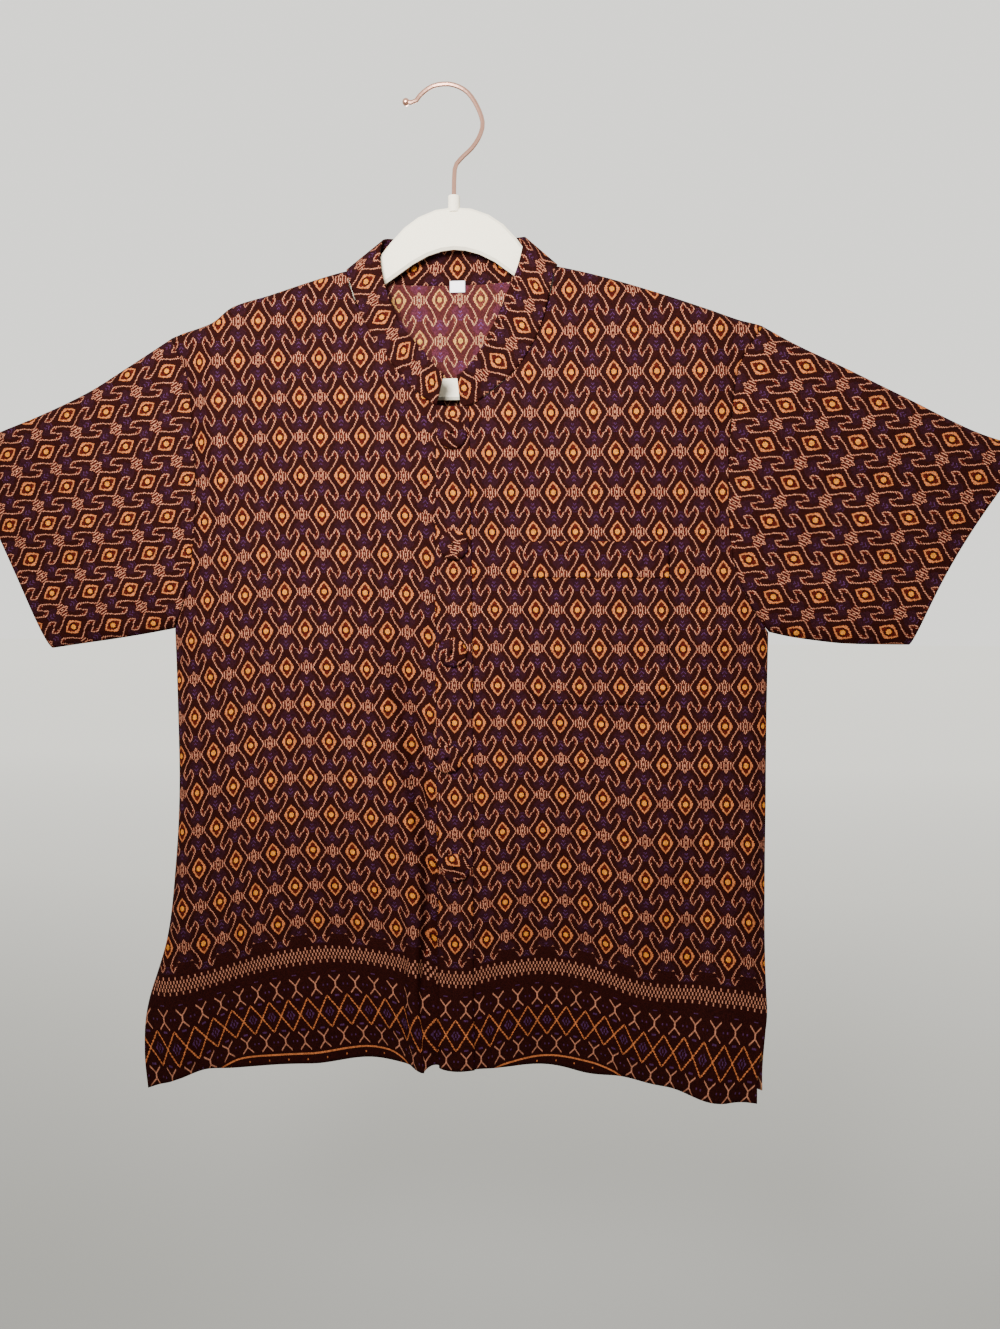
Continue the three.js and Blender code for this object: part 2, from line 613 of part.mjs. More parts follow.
function rod(radius, top, bottom, x) {
  const geometry = new THREE.CylinderGeometry(radius, radius, top - bottom, 16);
  geometry.rotateX(Math.PI / 2);
  geometry.translate(x, 0, (top + bottom) / 2);
  return geometry;
}

function hangerOutline() {
  const { endLeft, endRight, barTop, barBottom, play } = HANGER;
  const tip = HANGER_TIP;
  const armTop = (x) => shoulderZ(x) - CLOTH - play;
  const startX = endLeft + tip.reach;
  const start = new THREE.Vector2(startX, armTop(startX) - tip.dropLeft);
  const outline = new THREE.Shape();
  outline.moveTo(start.x, start.y);
  ARM_LEFT_X.forEach((x) => outline.lineTo(x, armTop(x)));
  HUMP.forEach(({ x, z }) => outline.lineTo(x, z));
  ARM_RIGHT_X.forEach((x) => outline.lineTo(x, armTop(x)));
  outline.quadraticCurveTo(endRight + 2, armTop(endRight) - tip.dropRight, endRight, tip.side);
  outline.quadraticCurveTo(endRight - 2, barBottom, endRight - tip.turn, barBottom);
  outline.lineTo(endLeft + tip.turn, barBottom);
  outline.quadraticCurveTo(endLeft + 2, barBottom, endLeft, tip.side);
  outline.quadraticCurveTo(endLeft - 2, armTop(endLeft) - 2 * tip.dropRight, start.x, start.y);
  const underside = [...ARM_UNDERSIDE].reverse().map(({ x, z }) => new THREE.Vector2(x, z));
  const window = new THREE.Path(underside);
  window.quadraticCurveTo(endLeft + tip.window - 20, barTop, endLeft + tip.window, barTop);
  window.lineTo(endRight - tip.window, barTop);
  window.quadraticCurveTo(endRight - tip.window + 20, barTop, underside[0].x, underside[0].y);
  outline.holes.push(window);
  return outline;
}

function hangerBody() {
  const { thickness, bevel } = HANGER;
  const plate = new THREE.ExtrudeGeometry(hangerOutline(), {
    depth: thickness - 2 * bevel,
    bevelThickness: bevel,
    bevelSize: bevel,
    bevelOffset: -bevel,
    bevelSegments: 1,
    curveSegments: 5,
  });
  plate.rotateX(Math.PI / 2);
  plate.translate(0, thickness / 2 - bevel, 0);
  const wireX = HOOK_PATH.at(-1).x;
  const neck = rod(HANGER_NECK.radius, HANGER_NECK.top, HANGER_NECK.bottom, wireX);
  const boreEnd = HANGER_NECK.top - HANGER_NECK.boreDepth;
  const bore = rod(WIRE_RADIUS + 2 * SEAM, HANGER_NECK.top + 1, boreEnd, wireX);
  return toGeometry(toSolid(plate).add(toSolid(neck)).subtract(toSolid(bore)));
}

function hangerHook() {
  const end = HANGER_NECK.top - HANGER_NECK.boreDepth + SEAM;
  const places = [...HOOK_PATH, { x: HOOK_PATH.at(-1).x, z: end }];
  const centres = places.map(({ x, z }) => new THREE.Vector3(x, 0, z));
  const path = new THREE.CatmullRomCurve3(centres, false, 'centripetal');
  const section = new THREE.Shape().absarc(0, 0, WIRE_RADIUS, 0, 2 * Math.PI);
  const wire = new THREE.ExtrudeGeometry(section, { extrudePath: path, steps: 36, curveSegments: 4 });
  const ball = new THREE.SphereGeometry(BALL_RADIUS, 12, 8);
  ball.translate(HOOK_PATH[0].x, 0, HOOK_PATH[0].z);
  return toGeometry(toSolid(wire).add(toSolid(ball)));
}

// ---- The scene graph -----------------------------------------------------------------------
const SILK = new THREE.MeshStandardMaterial({ color: 0x4a2a26, roughness: 0.62 });
const SILK_TRIM = new THREE.MeshStandardMaterial({ color: 0x6a3a2c, roughness: 0.6 });
const WHITE_TAPE = new THREE.MeshStandardMaterial({ color: 0xf2eef2, roughness: 0.7 });
const IVORY_VELVET = new THREE.MeshStandardMaterial({ color: 0xe9e2d0, roughness: 0.95 });
const ROSE_GOLD = new THREE.MeshStandardMaterial({ color: 0xc98a6c, roughness: 0.28, metalness: 1 });

const group = new THREE.Group();

function place(name, geometry, material) {
  const mesh = new THREE.Mesh(geometry, material);
  mesh.name = name;
  group.add(mesh);
  return mesh;
}

const rightFront = bodyPanel(FRONT_RIGHT);
const backPanel = bodyPanel(BACK);
place('front_right', wall(rightFront.points, rightFront.normals), SILK);
place('front_left', wall(leftFront.points, leftFront.normals), SILK);
place('back', wall(backPanel.points, backPanel.normals), SILK);
place('sleeve_right', sleeve('left', LEFT_SLEEVE), SILK);
place('sleeve_left', sleeve('right', RIGHT_SLEEVE), SILK);
place('collar', collar(), SILK_TRIM);
place('placket', placket(), SILK_TRIM);
place('pocket', pocket(), SILK_TRIM);
place('pocket_band', pocketBand(), SILK_TRIM);
BUTTONS.forEach((spot, i) => {
  const { geometry, turn, seat } = button(spot);
  const mesh = place(`button_${i + 1}`, geometry, SILK_TRIM);
  mesh.quaternion.copy(turn);
  mesh.position.copy(seat);
});
place('neck_label', neckLabel(), WHITE_TAPE);
place('hanger_body', hangerBody(), IVORY_VELVET);
place('hanger_hook', hangerHook(), ROSE_GOLD);

export default group;
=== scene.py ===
"""Looks of the silk shirt and its hanger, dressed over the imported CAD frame."""

from __future__ import annotations

import logging
import math
from dataclasses import dataclass, field, replace
from enum import Enum
from typing import Sequence

import bpy
import numpy as np
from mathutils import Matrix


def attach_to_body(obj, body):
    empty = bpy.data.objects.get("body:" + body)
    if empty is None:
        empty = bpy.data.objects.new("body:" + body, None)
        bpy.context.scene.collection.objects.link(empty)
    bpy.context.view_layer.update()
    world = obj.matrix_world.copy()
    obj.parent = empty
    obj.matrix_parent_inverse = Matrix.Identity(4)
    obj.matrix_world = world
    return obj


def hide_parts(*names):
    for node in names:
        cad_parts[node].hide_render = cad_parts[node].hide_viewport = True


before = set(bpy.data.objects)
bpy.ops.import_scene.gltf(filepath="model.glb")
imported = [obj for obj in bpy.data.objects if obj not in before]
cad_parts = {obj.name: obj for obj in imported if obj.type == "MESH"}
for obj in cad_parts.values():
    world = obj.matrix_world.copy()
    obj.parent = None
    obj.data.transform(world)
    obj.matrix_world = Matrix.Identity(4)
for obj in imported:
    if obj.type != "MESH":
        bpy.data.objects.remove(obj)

LOG = logging.getLogger("silk_shirt")
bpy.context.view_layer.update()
MM = 0.001

# Lengths in the tables are millimetres, in the frame's own directions.
CLOTH = 1.2
SEAM = 0.3
COLLAR_CLOTH = 1.6
SHEET = 0.9
COLUMN_EASE = 0.7
TUCK_START = -27.0
TUCK_END = -15.0
VENT_TOP_Z = -772.0
VENT_RISE = 70.0
COLLAR_TURN_X = 79.0
COLLAR_TURN_GAP = 1.2
SLEEVE_JOIN = 0.4
SLEEVE_FULLNESS = 6
UV_LAYER = "cloth"
THREAD_WIDTH = 0.845
THREAD_HEIGHT = 0.857


@dataclass(frozen=True)
class Table:
    """Rows of named columns, read as a smooth curve along the first column."""

    columns: tuple[str, ...]
    rows: tuple[tuple[float, ...], ...]

    def column(self, name: str) -> np.ndarray:
        """Return one column as an array."""
        index = self.columns.index(name)
        return np.array([row[index] for row in self.rows], dtype=float)

    def read(self, name: str, at: np.ndarray | float) -> np.ndarray:
        """Read a column at places along the first column.

        Args:
            name: The column to read.
            at: Places along the first column.

        Returns:
            The column's smooth values there, held at its ends.
        """
        keys = self.column(self.columns[0])
        values = self.column(name)
        last = len(keys) - 1
        places = np.asarray(at, dtype=float)
        i = np.clip(np.searchsorted(keys, places, side="right"), 1, last)
        before = np.maximum(np.arange(last + 1) - 1, 0)
        after = np.minimum(np.arange(last + 1) + 1, last)
        tangent = (values[after] - values[before]) / (keys[after] - keys[before])
        span = keys[i] - keys[i - 1]
        chord = (values[i] - values[i - 1]) / span
        t = np.clip((places - keys[i - 1]) / span, 0, 1)
        bend = (1 - t) * (tangent[i - 1] - chord) + t * (chord - tangent[i])
        return values[i - 1] + t * span * chord + t * (1 - t) * span * bend


BODY = Table(
    ("z", "left", "right", "front", "back", "boxy", "curl"),
    (
        (-880, -282, 276.5, 7, 20, 1, 36),
        (-838, -287, 276, 11, 20, 1, 30),
        (-800, -285, 275, 15, 19, 1, 23),
        (-735, -267.5, 272, 20, 18, 1, 13),
        (-667, -260, 271, 22, 17, 0.9, 6),
        (-600, -256, 270.5, 22, 16, 0.8, 2),
        (-520, -255.5, 269.5, 22, 15, 0.7, 0),
        (-452, -255.5, 269, 23, 14, 0.6, 0),
        (-380, -256, 269, 24, 13, 0.4, 0),
        (-300, -256, 269, 25, 13, 0.2, 0),
        (-245, -256, 269, 23, 12, 0.1, 0),
        (-200, -256, 269, 17, 11, 0, 0),
        (-165, -256, 269, 11, 9, 0, 0),
        (-130, -256, 269, 8, 8, 0, 0),
    ),
)
SHOULDER = Table(
    ("x", "z"),
    (
        (-256, -200), (-250, -197.5), (-237, -193), (-222, -189), (-209, -184), (-193, -172.5),
        (-160, -163.5), (-118, -151.5), (-91, -145), (-45, -138), (0, -136), (45, -138),
        (87, -146.2), (123, -155), (173, -170.5), (212, -184), (237, -193), (257, -198.5),
        (269, -205),
    ),
)
NECKLINE = Table(
    ("x", "z"),
    (
        (-91, -145), (-89.5, -153), (-87, -162), (-82, -175), (-75, -189), (-67, -203),
        (-56, -218), (-40, -240), (-27, -252), (-17, -259), (-11.4, -262), (2.3, -263.5),
        (16, -263), (33, -252), (50, -238), (58, -229), (65, -218), (71, -207), (76, -194),
        (80, -181), (83, -168), (85.3, -156), (87, -146.2),
    ),
)
BACK_NECK = Table(
    ("x", "z"),
    (
        (-91, -145), (-75, -150), (-50, -155), (0, -157), (50, -155), (72, -150.5),
        (87, -146.2),
    ),
)
FRONT_HEM = Table(
    ("x", "z"),
    (
        (-255.5, -871), (-240, -865), (-228, -859), (-211, -856), (-190, -856), (-145, -853),
        (-90, -852), (-45, -850), (-27, -850.5), (-20, -846), (-11, -847.5), (20, -847),
        (38, -849.5), (60, -850), (96, -851.5), (150, -852), (200, -854), (240, -857),
        (269, -857),
    ),
)
BACK_HEM = Table(("x", "z"), ((-255.5, -866), (-200, -857), (0, -853), (200, -853), (269, -850)))
ARMHOLES = Table(
    ("down", "left", "right"),
    (
        (0, -250, 257), (0.13, -233, 238), (0.34, -228, 231), (0.55, -226.5, 230.5),
        (0.76, -233, 236), (0.88, -241, 248), (0.95, -247, 259), (1, -255.5, 269),
    ),
)
FRONT_RIGHT_COLUMNS = (
    (14, 14), (2.3, 0), (-11.4, -15), (-17, -20), (-27, -27), (-40, -36), (-56, -49),
    (-67, -68), (-75, -90), (-82, -112), (-87, -134), (-89.5, -155), (-91, -175), (-118, -194),
    (-146, -211), (-174, -226), (-193, -238), (-209, -247), (-228, -253), (-250, -255.5),
)
FRONT_LEFT_COLUMNS = (
    (-11.4, -14), (2.3, 2.3), (16, 17.8), (33, 34), (50, 54), (58, 76), (65, 98), (71, 120),
    (76, 142), (80, 163), (83, 183), (85.3, 202), (87, 219), (118, 233), (148, 245),
    (178, 255), (206, 262), (226, 266.5), (243, 268.5), (257, 269),
)
BACK_COLUMNS = (
    (-250, -255.5), (-228, -252), (-209, -245), (-193, -235), (-174, -221), (-146, -203),
    (-118, -182), (-91, -158), (-75, -130), (-50, -98), (-25, -64), (0, -28), (25, 10),
    (50, 48), (72, 86), (87, 122), (118, 157), (148, 189), (178, 216), (206, 238), (226, 254),
    (243, 264.5), (257, 269),
)
FOLD_COLUMNS = ("topX", "topZ", "topOut", "lowX", "lowZ", "lowOut", "half")
FRONT_FOLDS = Table(FOLD_COLUMNS, (
    (-46, -560, 0, -28, -858, 15, 15),
    (-49, -250, 3, -33, -345, 0, 12),
    (2, -560, 0, 3, -858, 13, 42),
    (-95, -600, 0, -84, -858, -14, 52),
    (90, -620, 0, 84, -858, -16, 58),
    (150, -700, 0, 146, -858, -7, 36),
    (-262, -750, 0, -252, -868, 13, 26),
    (236, -690, 0, 224, -858, 12, 36),
    (-206, -225, 3, -214, -430, 0, 22),
    (214, -225, 3, 222, -430, 0, 24),
))
BACK_FOLDS = Table(FOLD_COLUMNS, (
    (-150, -560, 0, -165, -858, -9, 60),
    (60, -600, 0, 40, -858, -7, 70),
    (170, -560, 0, 190, -858, -8, 55),
    (-60, -560, 0, -62, -858, 3, 50),
))
ARM_ROOM = 8.0
SHOULDER_ROLL = 10.0
ARMPIT_Z = -452.0
FOLD_FADE = 0.25  # share of a fold's length over which it dies out past its ends
FOLD_GROWTH = 1.6  # power by which a fold opens out down its length
SIDE_HOLD = 4  # how firmly the side seams keep folds away


def smooth(at: np.ndarray, low: float, high: float) -> np.ndarray:
    """Ease from 0 at low to 1 at high."""
    t = np.clip((np.asarray(at, dtype=float) - low) / (high - low), 0, 1)
    return t * t * (3 - 2 * t)


def mix(a: np.ndarray, b: np.ndarray, t: np.ndarray) -> np.ndarray:
    """Blend a into b by the share t."""
    return a + (b - a) * t


def fold_out(folds: Table, x: np.ndarray, z: np.ndarray) -> np.ndarray:
    """Add up how far the large folds push a face out.

    Args:
        folds: The folds, with the columns of FOLD_COLUMNS.
        x: Places across.
        z: Places up.

    Returns:
        How far each place is pushed out, in millimetres.
    """
    out = np.zeros(np.broadcast(x, z).shape)
    for top_x, top_z, top_out, low_x, low_z, low_out, half in folds.rows:
        t = (z - top_z) / (low_z - top_z)
        across = np.abs(x - mix(top_x, low_x, t)) / half
        ends = smooth(t, -FOLD_FADE, 0) * (1 - smooth(t, 1, 1 + FOLD_FADE))
        height = mix(top_out, low_out, np.clip(t, 0, 1) ** FOLD_GROWTH)
        out += np.where(across < 1, height * ends * np.cos(across * np.pi / 2) ** 2, 0)
    return out


def reach(face: int, x: np.ndarray, z: np.ndarray) -> tuple[np.ndarray, np.ndarray]:
    """Return how far a face stands out from the middle, and how open the body is.

    Args:
        face: -1 for the front, 1 for the back.
        x: Places across.
        z: Places up.

    Returns:
        The square of the distance, and 0 at the closed edges to 1 inside them.
    """
    left = BODY.read("left", z)
    right = BODY.read("right", z)
    u2 = ((2 * x - left - right) / (right - left)) ** 2
    shape = u2 + u2 * u2
    depth = BODY.read("front" if face < 0 else "back", z)
    boxy = BODY.read("boxy", z)
    full = ARM_ROOM * np.sqrt(1 + shape) + (depth - ARM_ROOM) * np.sqrt(1 + boxy * shape)
    fall = np.minimum((SHOULDER.read("z", x) - z) / SHOULDER_ROLL, 1)
    closing = (1 - u2) * fall * (2 - fall)
    return full * full * closing, np.maximum(closing, 0)


def middle_y(face: int, x: np.ndarray, z: np.ndarray) -> np.ndarray:
    """Return the depth that a face is measured from: the body's curl and the face's folds.

    Args:
        face: -1 for the front, 1 for the back.
        x: Places across.
        z: Places up.

    Returns:
        The depth at each place.
    """
    left = BODY.read("left", z)
    right = BODY.read("right", z)
    u = np.abs((2 * x - left - right) / (right - left))
    held = np.clip(reach(face, x, z)[1] * SIDE_HOLD, 0, 1)
    folds = fold_out(FRONT_FOLDS if face < 0 else BACK_FOLDS, x, z)
    return -BODY.read("curl", z) * u**3 + face * folds * held


def body_y(face: int, x: np.ndarray, z: np.ndarray) -> np.ndarray:
    """Return the depth of the front (face -1) or the back (face 1) at each place."""
    return middle_y(face, x, z) + face * np.sqrt(np.maximum(reach(face, x, z)[0], 0))


# ---- Creases placed one by one -------------------------------------------------------------
# Each is a soft ridge (out above 0) or trough from one place to another, on a face.
CREASE_COLUMNS = ("x0", "z0", "x1", "z1", "out", "half", "step")
RIDGE_SLOPE = 1.6  # how steeply a stepped crease runs from one side to the other
DRAPE_LEVEL = 0.5  # share of the drape fold that is a plain ridge
CREASE_BOW = 0.6  # how far a crease bows, as a share of its half width
CREASE_TURNS = 1.3  # half turns of that bow over its length
CREASE_RISE = (-0.12, 0.3)  # shares of its length between which it rises
CREASE_FALL = (0.62, 1.12)  # and between which it dies out
CREASE_EDGES = (0.08, 0.92)  # shares across a panel between which creases are at full height
CREASE_TOP = (0.02, 0.1)  # shares of the way to the armpit over which they start
FRONT_CREASES = Table(
    CREASE_COLUMNS,
    (
        (-62, -266, -34, -336, 1.8, 6, 0.4),
        (-54, -262, -24, -322, -1.6, 6, 0), (-66, -300, -46, -392, 1.8, 8, 0.6),
        (-40, -320, -30, -420, -1.6, 8, 0), (-88, -250, -84, -420, -1.4, 14, 0),
        (-58, -430, -66, -560, 1.3, 16, 0), (-120, -330, -108, -560, 1.6, 22, 0.3),
        (-168, -260, -150, -470, -1.5, 24, 0), (-206, -236, -190, -330, 2.4, 12, 0.3),
        (-222, -262, -212, -410, -2.0, 10, 0), (-232, -430, -196, -500, 1.8, 12, 0.4),
        (-246, -470, -200, -560, -1.5, 14, 0), (-150, -560, -160, -800, 2.4, 22, 0.3),
        (-196, -600, -214, -830, -2.6, 20, 0), (-236, -640, -248, -840, 1.8, 13, 0.4),
        (-116, -640, -120, -830, -2.2, 18, 0), (24, -290, 30, -372, 1.6, 9, 0.6),
        (44, -270, 56, -372, 1.8, 11, 0.4), (32, -330, 38, -520, -1.4, 10, 0),
        (100, -250, 92, -368, -1.5, 20, 0), (150, -240, 150, -366, 1.6, 22, 0.3),
        (196, -236, 200, -330, 2.2, 12, 0.3), (228, -262, 222, -410, -2.0, 11, 0),
        (240, -430, 204, -500, 1.8, 12, 0.4), (254, -470, 196, -560, -1.5, 14, 0),
        (60, -540, 52, -800, 2.6, 22, 0.3), (118, -560, 120, -820, -2.4, 22, 0),
        (176, -580, 184, -830, 2.4, 20, 0.3), (216, -620, 206, -836, -2.0, 16, 0),
        (252, -560, 256, -800, 1.6, 12, 0), (30, -600, 34, -836, -1.8, 12, 0),
    ),
)
BACK_CREASES = Table(
    CREASE_COLUMNS,
    (
        (-206, -236, -196, -400, 1.6, 14, 0.2), (-150, -200, -130, -420, -1.3, 24, 0.2),
        (-90, -210, -80, -520, 1.2, 26, 0.2), (-30, -200, -34, -480, -1.2, 24, 0.2),
        (40, -200, 34, -500, 1.1, 26, 0.2), (96, -210, 100, -470, -1.3, 24, 0.2),
        (152, -214, 160, -440, 1.2, 22, 0.2), (204, -236, 210, -400, -1.5, 13, 0.2),
        (-214, -430, -190, -820, 1.5, 24, 0.2), (-120, -500, -130, -836, -1.6, 26, 0.2),
        (-20, -520, -10, -840, 1.5, 26, 0.2), (90, -540, 104, -830, -1.5, 24, 0.2),
        (200, -480, 210, -820, 1.4, 22, 0.2), (240, -560, 246, -800, -1.0, 12, 0.2),
    ),
)
# On a sleeve the places are out and down as shares of its length and height.
SLEEVE_CREASES = Table(
    CREASE_COLUMNS,
    (
        (0.02, 0.22, 0.62, 0.34, 1.8, 0.05, 0.2), (0.02, 0.34, 0.5, 0.47, -1.6, 0.05, 0.2),
        (0.02, 0.52, 0.66, 0.58, 1.6, 0.06, 0.2), (0.02, 0.66, 0.52, 0.7, -1.8, 0.05, 0.2),
        (0.04, 0.8, 0.7, 0.78, 1.8, 0.05, 0.2), (0.05, 0.92, 0.45, 0.86, -1.4, 0.04, 0.2),
        (0.4, 0.18, 0.98, 0.2, 1.2, 0.06, 0.2), (0.5, 0.46, 0.99, 0.42, 1.5, 0.07, 0.2),
        (0.55, 0.68, 0.99, 0.62, -1.4, 0.06, 0.2),
    ),
)


# The drape fold beside the placket: it steps in toward the placket along this path.
DRAPE = Table(
    ("z", "x", "out", "half"),
    (
        (-872, -31, 3.0, 10), (-800, -32, 5.0, 9), (-735, -28, 6.0, 8), (-690, -26, 6.5, 8),
        (-648, -28, 7.5, 8.5), (-595, -36, 9.5, 10), (-540, -45, 9.5, 11), (-485, -56, 7.0, 12),
        (-430, -66, 3.0, 13), (-370, -76, 0.0, 13),
    ),
)


def drape_out(x: np.ndarray, z: np.ndarray) -> np.ndarray:
    """Return how far the drape fold pushes the front out at each place."""
    side = (x - DRAPE.read("x", z)) / DRAPE.read("half", z)
    return -DRAPE.read("out", z) * (DRAPE_LEVEL + RIDGE_SLOPE * side) * np.exp(-(side**2))


def crease_out(creases: Table, x: np.ndarray, z: np.ndarray) -> np.ndarray:
    """Add up the creases' heights at places on a face.

    Args:
        creases: The listed creases.
        x: First place coordinate.
        z: Second place coordinate.

    Returns:
        How far each place is pushed out, in millimetres.
    """
    out = np.zeros(np.broadcast(x, z).shape)
    for x0, z0, x1, z1, height, half, step in creases.rows:
        length = math.hypot(x1 - x0, z1 - z0)
        along = ((x - x0) * (x1 - x0) + (z - z0) * (z1 - z0)) / length**2
        across = ((x - x0) * (z1 - z0) - (z - z0) * (x1 - x0)) / length
        bow = half * CREASE_BOW * np.sin(along * math.pi * CREASE_TURNS + height)
        fade = smooth(along, *CREASE_RISE) * (1 - smooth(along, *CREASE_FALL))
        side = (across + bow) / half
        ridge = 1 - step + step * RIDGE_SLOPE * side
        out += height * fade * ridge * np.exp(-(side**2))
    return out


# ---- Meshes --------------------------------------------------------------------------------
def unit(vectors: np.ndarray) -> np.ndarray:
    """Scale vectors to length one."""
    length = np.linalg.norm(vectors, axis=-1, keepdims=True)
    return vectors / np.maximum(length, 1e-9)


def grid_normals(points: np.ndarray, outward: np.ndarray) -> np.ndarray:
    """Return the grid's normals, turned to the side that outward points to."""
    down = np.gradient(points, axis=0)
    along = np.gradient(points, axis=1)
    normals = unit(np.cross(along, down))
    side = np.sign(np.sum(normals * outward, axis=-1, keepdims=True))
    return normals * np.where(side == 0, 1, side)


def new_object(name: str, vertices: np.ndarray, faces: list, uvs: np.ndarray) -> bpy.types.Object:
    """Make a mesh object from millimetre vertices with the cloth's own coordinates.

    Args:
        name: The object's name.
        vertices: Places, one a row, in millimetres.
        faces: Vertex numbers of each face, facing out.
        uvs: Flat cloth coordinates of each vertex, in millimetres.

    Returns:
        The new object, linked to the scene.
    """
    mesh = bpy.data.meshes.new(name)
    mesh.from_pydata((vertices * MM).tolist(), [], faces)
    layer = mesh.uv_layers.new(name=UV_LAYER)
    corner = np.empty(len(mesh.loops), dtype=np.int32)
    mesh.loops.foreach_get("vertex_index", corner)
    layer.data.foreach_set("uv", (uvs[corner] * MM).astype(np.float32).ravel())
    mesh.polygons.foreach_set("use_smooth", [True] * len(mesh.polygons))
    mesh.update()
    obj = bpy.data.objects.new(name, mesh)
    bpy.context.scene.collection.objects.link(obj)
    return obj


def grid_sheet(
    name: str,
    points: np.ndarray,
    outward: np.ndarray,
    uvs: np.ndarray,
    thickness: float,
    loop: bool = False,
) -> bpy.types.Object:
    """Make a thin shell of cloth from a grid of places on its outer side.

    Args:
        name: The object's name.
        points: Rows by columns by 3, in millimetres.
        outward: A direction for each place that its outer side faces.
        uvs: Rows by columns by 2, flat cloth coordinates.
        thickness: Thickness of the shell, in millimetres.
        loop: True when the last column joins the first.

    Returns:
        The shell, its second material slot on the inner side.
    """
    rows, columns = points.shape[:2]
    normals = grid_normals(points, outward)
    middle = (rows // 2, columns // 2)
    along = points[middle[0], middle[1] + 1] - points[middle]
    down = points[middle[0] + 1, middle[1]] - points[middle]
    forward = float(np.dot(np.cross(along, down), normals[middle])) > 0
    faces = []
    spans = columns if loop else columns - 1
    for r in range(rows - 1):
        for c in range(spans):
            n = (c + 1) % columns
            quad = (r * columns + c, r * columns + n, (r + 1) * columns + n, (r + 1) * columns + c)
            faces.append(quad if forward else quad[::-1])
    obj = new_object(name, points.reshape(-1, 3), faces, uvs.reshape(-1, 2))
    shell = obj.modifiers.new("shell", "SOLIDIFY")
    shell.thickness = thickness * MM
    shell.offset = -1
    shell.material_offset = 1
    return obj


# ---- The flat cloth ------------------------------------------------------------------------
@dataclass(frozen=True)
class ClothLay:
    """How a body panel's cloth was laid: where its pattern sits on the form.

    Args:
        face: -1 for the front, 1 for the back.
        start: Distance across of a diamond in the lowest row.
        repeat: The repeat's width as it lies on the form.
        lean: How far the threads lean from upright, as a slope.
        lean_z: Height where start is true.
        border: Height of the dashed border line along the distance across.
        line: Height of the orange hem line along the distance across.
        heights: Flat height of the rows above it.
    """

    face: int
    start: float
    repeat: float
    lean: float
    lean_z: float
    border: Table
    line: Table
    heights: Table

    def across(self, x: np.ndarray, z: np.ndarray) -> np.ndarray:
        """Return the distance along the cloth from the middle at each place."""
        xs = np.arange(*SURVEY_X)
        zs = np.arange(*SURVEY_Z)
        step_x, step_z = SURVEY_X[2], SURVEY_Z[2]
        grid_x, grid_z = np.meshgrid(xs, zs)
        y = body_y(self.face, grid_x, grid_z)
        slope = np.clip(np.gradient(y, xs, axis=1), -STEEPEST, STEEPEST)
        run = np.cumsum(np.sqrt(1 + slope * slope) * step_x, axis=1)
        run -= run[:, [len(xs) // 2]]
        i = np.clip((x - xs[0]) / step_x, 0, len(xs) - 1.001)
        j = np.clip((z - zs[0]) / step_z, 0, len(zs) - 1.001)
        i0, j0 = i.astype(int), j.astype(int)
        low = mix(run[j0, i0], run[j0, i0 + 1], i - i0)
        high = mix(run[j0 + 1, i0], run[j0 + 1, i0 + 1], i - i0)
        return mix(low, high, j - j0)

    def flat(self, x: np.ndarray, z: np.ndarray) -> np.ndarray:
        """Return the flat cloth coordinates of places on the panel.

        Args:
            x: Places across.
            z: Places up.

        Returns:
            The pattern's own coordinates, the last axis (u, v), in millimetres.
        """
        run = self.across(x, z)
        u = (run + self.lean * (z - self.lean_z) - self.start) * REPEAT_WIDTH / self.repeat
        border_z = self.border.read("z", run)
        ref_z, ref_v = self.heights.rows[0]
        low = BORDER_LINE + (z - border_z) * (ref_v - BORDER_LINE) / (ref_z - border_z)
        drop = (z - border_z) * (BORDER_LINE - HEM_LINE) / (border_z - self.line.read("z", run))
        low = np.where(z < border_z, BORDER_LINE + drop, low)
        keys, values = self.heights.column("z"), self.heights.column("v")
        slope = REPEAT_HEIGHT / TOP_REPEAT
        high = np.interp(z, keys, values) + np.maximum(z - keys[-1], 0) * slope
        return np.stack([u + REPEAT_WIDTH / 2, np.where(z < ref_z, low, high)], axis=-1)


SURVEY_X = (-310.0, 311.0, 2.0)  # where the form's slope is sampled: from, to, step
SURVEY_Z = (-900.0, -119.0, 6.0)
STEEPEST = 1.2  # steepest slope that counts in a run along the cloth
REPEAT_WIDTH = 35.5
REPEAT_HEIGHT = 66.0
TOP_REPEAT = 65.2  # height of a repeat as it hangs above the last known row
BORDER_LINE = 84.5
HEM_LINE = -3.0
LOWEST_ROW = 117.0
RIGHT_FRONT_LAY = ClothLay(
    face=-1,
    start=-54.0,
    repeat=35.9,
    lean=0.010,
    lean_z=-718.0,
    border=Table(
        ("u", "z"),
        (
            (-272.6, -778.4), (-250.3, -774.9), (-228.4, -769.8), (-206.3, -762.8),
            (-184.2, -754.7), (-162.4, -749.4), (-131, -745.2), (-99.7, -745.7),
            (-79.5, -747.1), (-57.6, -749.2), (-32.7, -750.7), (-18.1, -759.4),
        ),
    ),
    line=Table(
        ("u", "z"),
        (
            (-275, -873), (-250, -868), (-232, -856), (-213.6, -847.3), (-180, -844),
            (-144.6, -842.1), (-118, -841), (-74, -840.2), (-60, -845), (-45, -856),
            (-18, -858),
        ),
    ),
    heights=Table(("z", "v"), ((-220.5, 612), (-168, 664))),
)
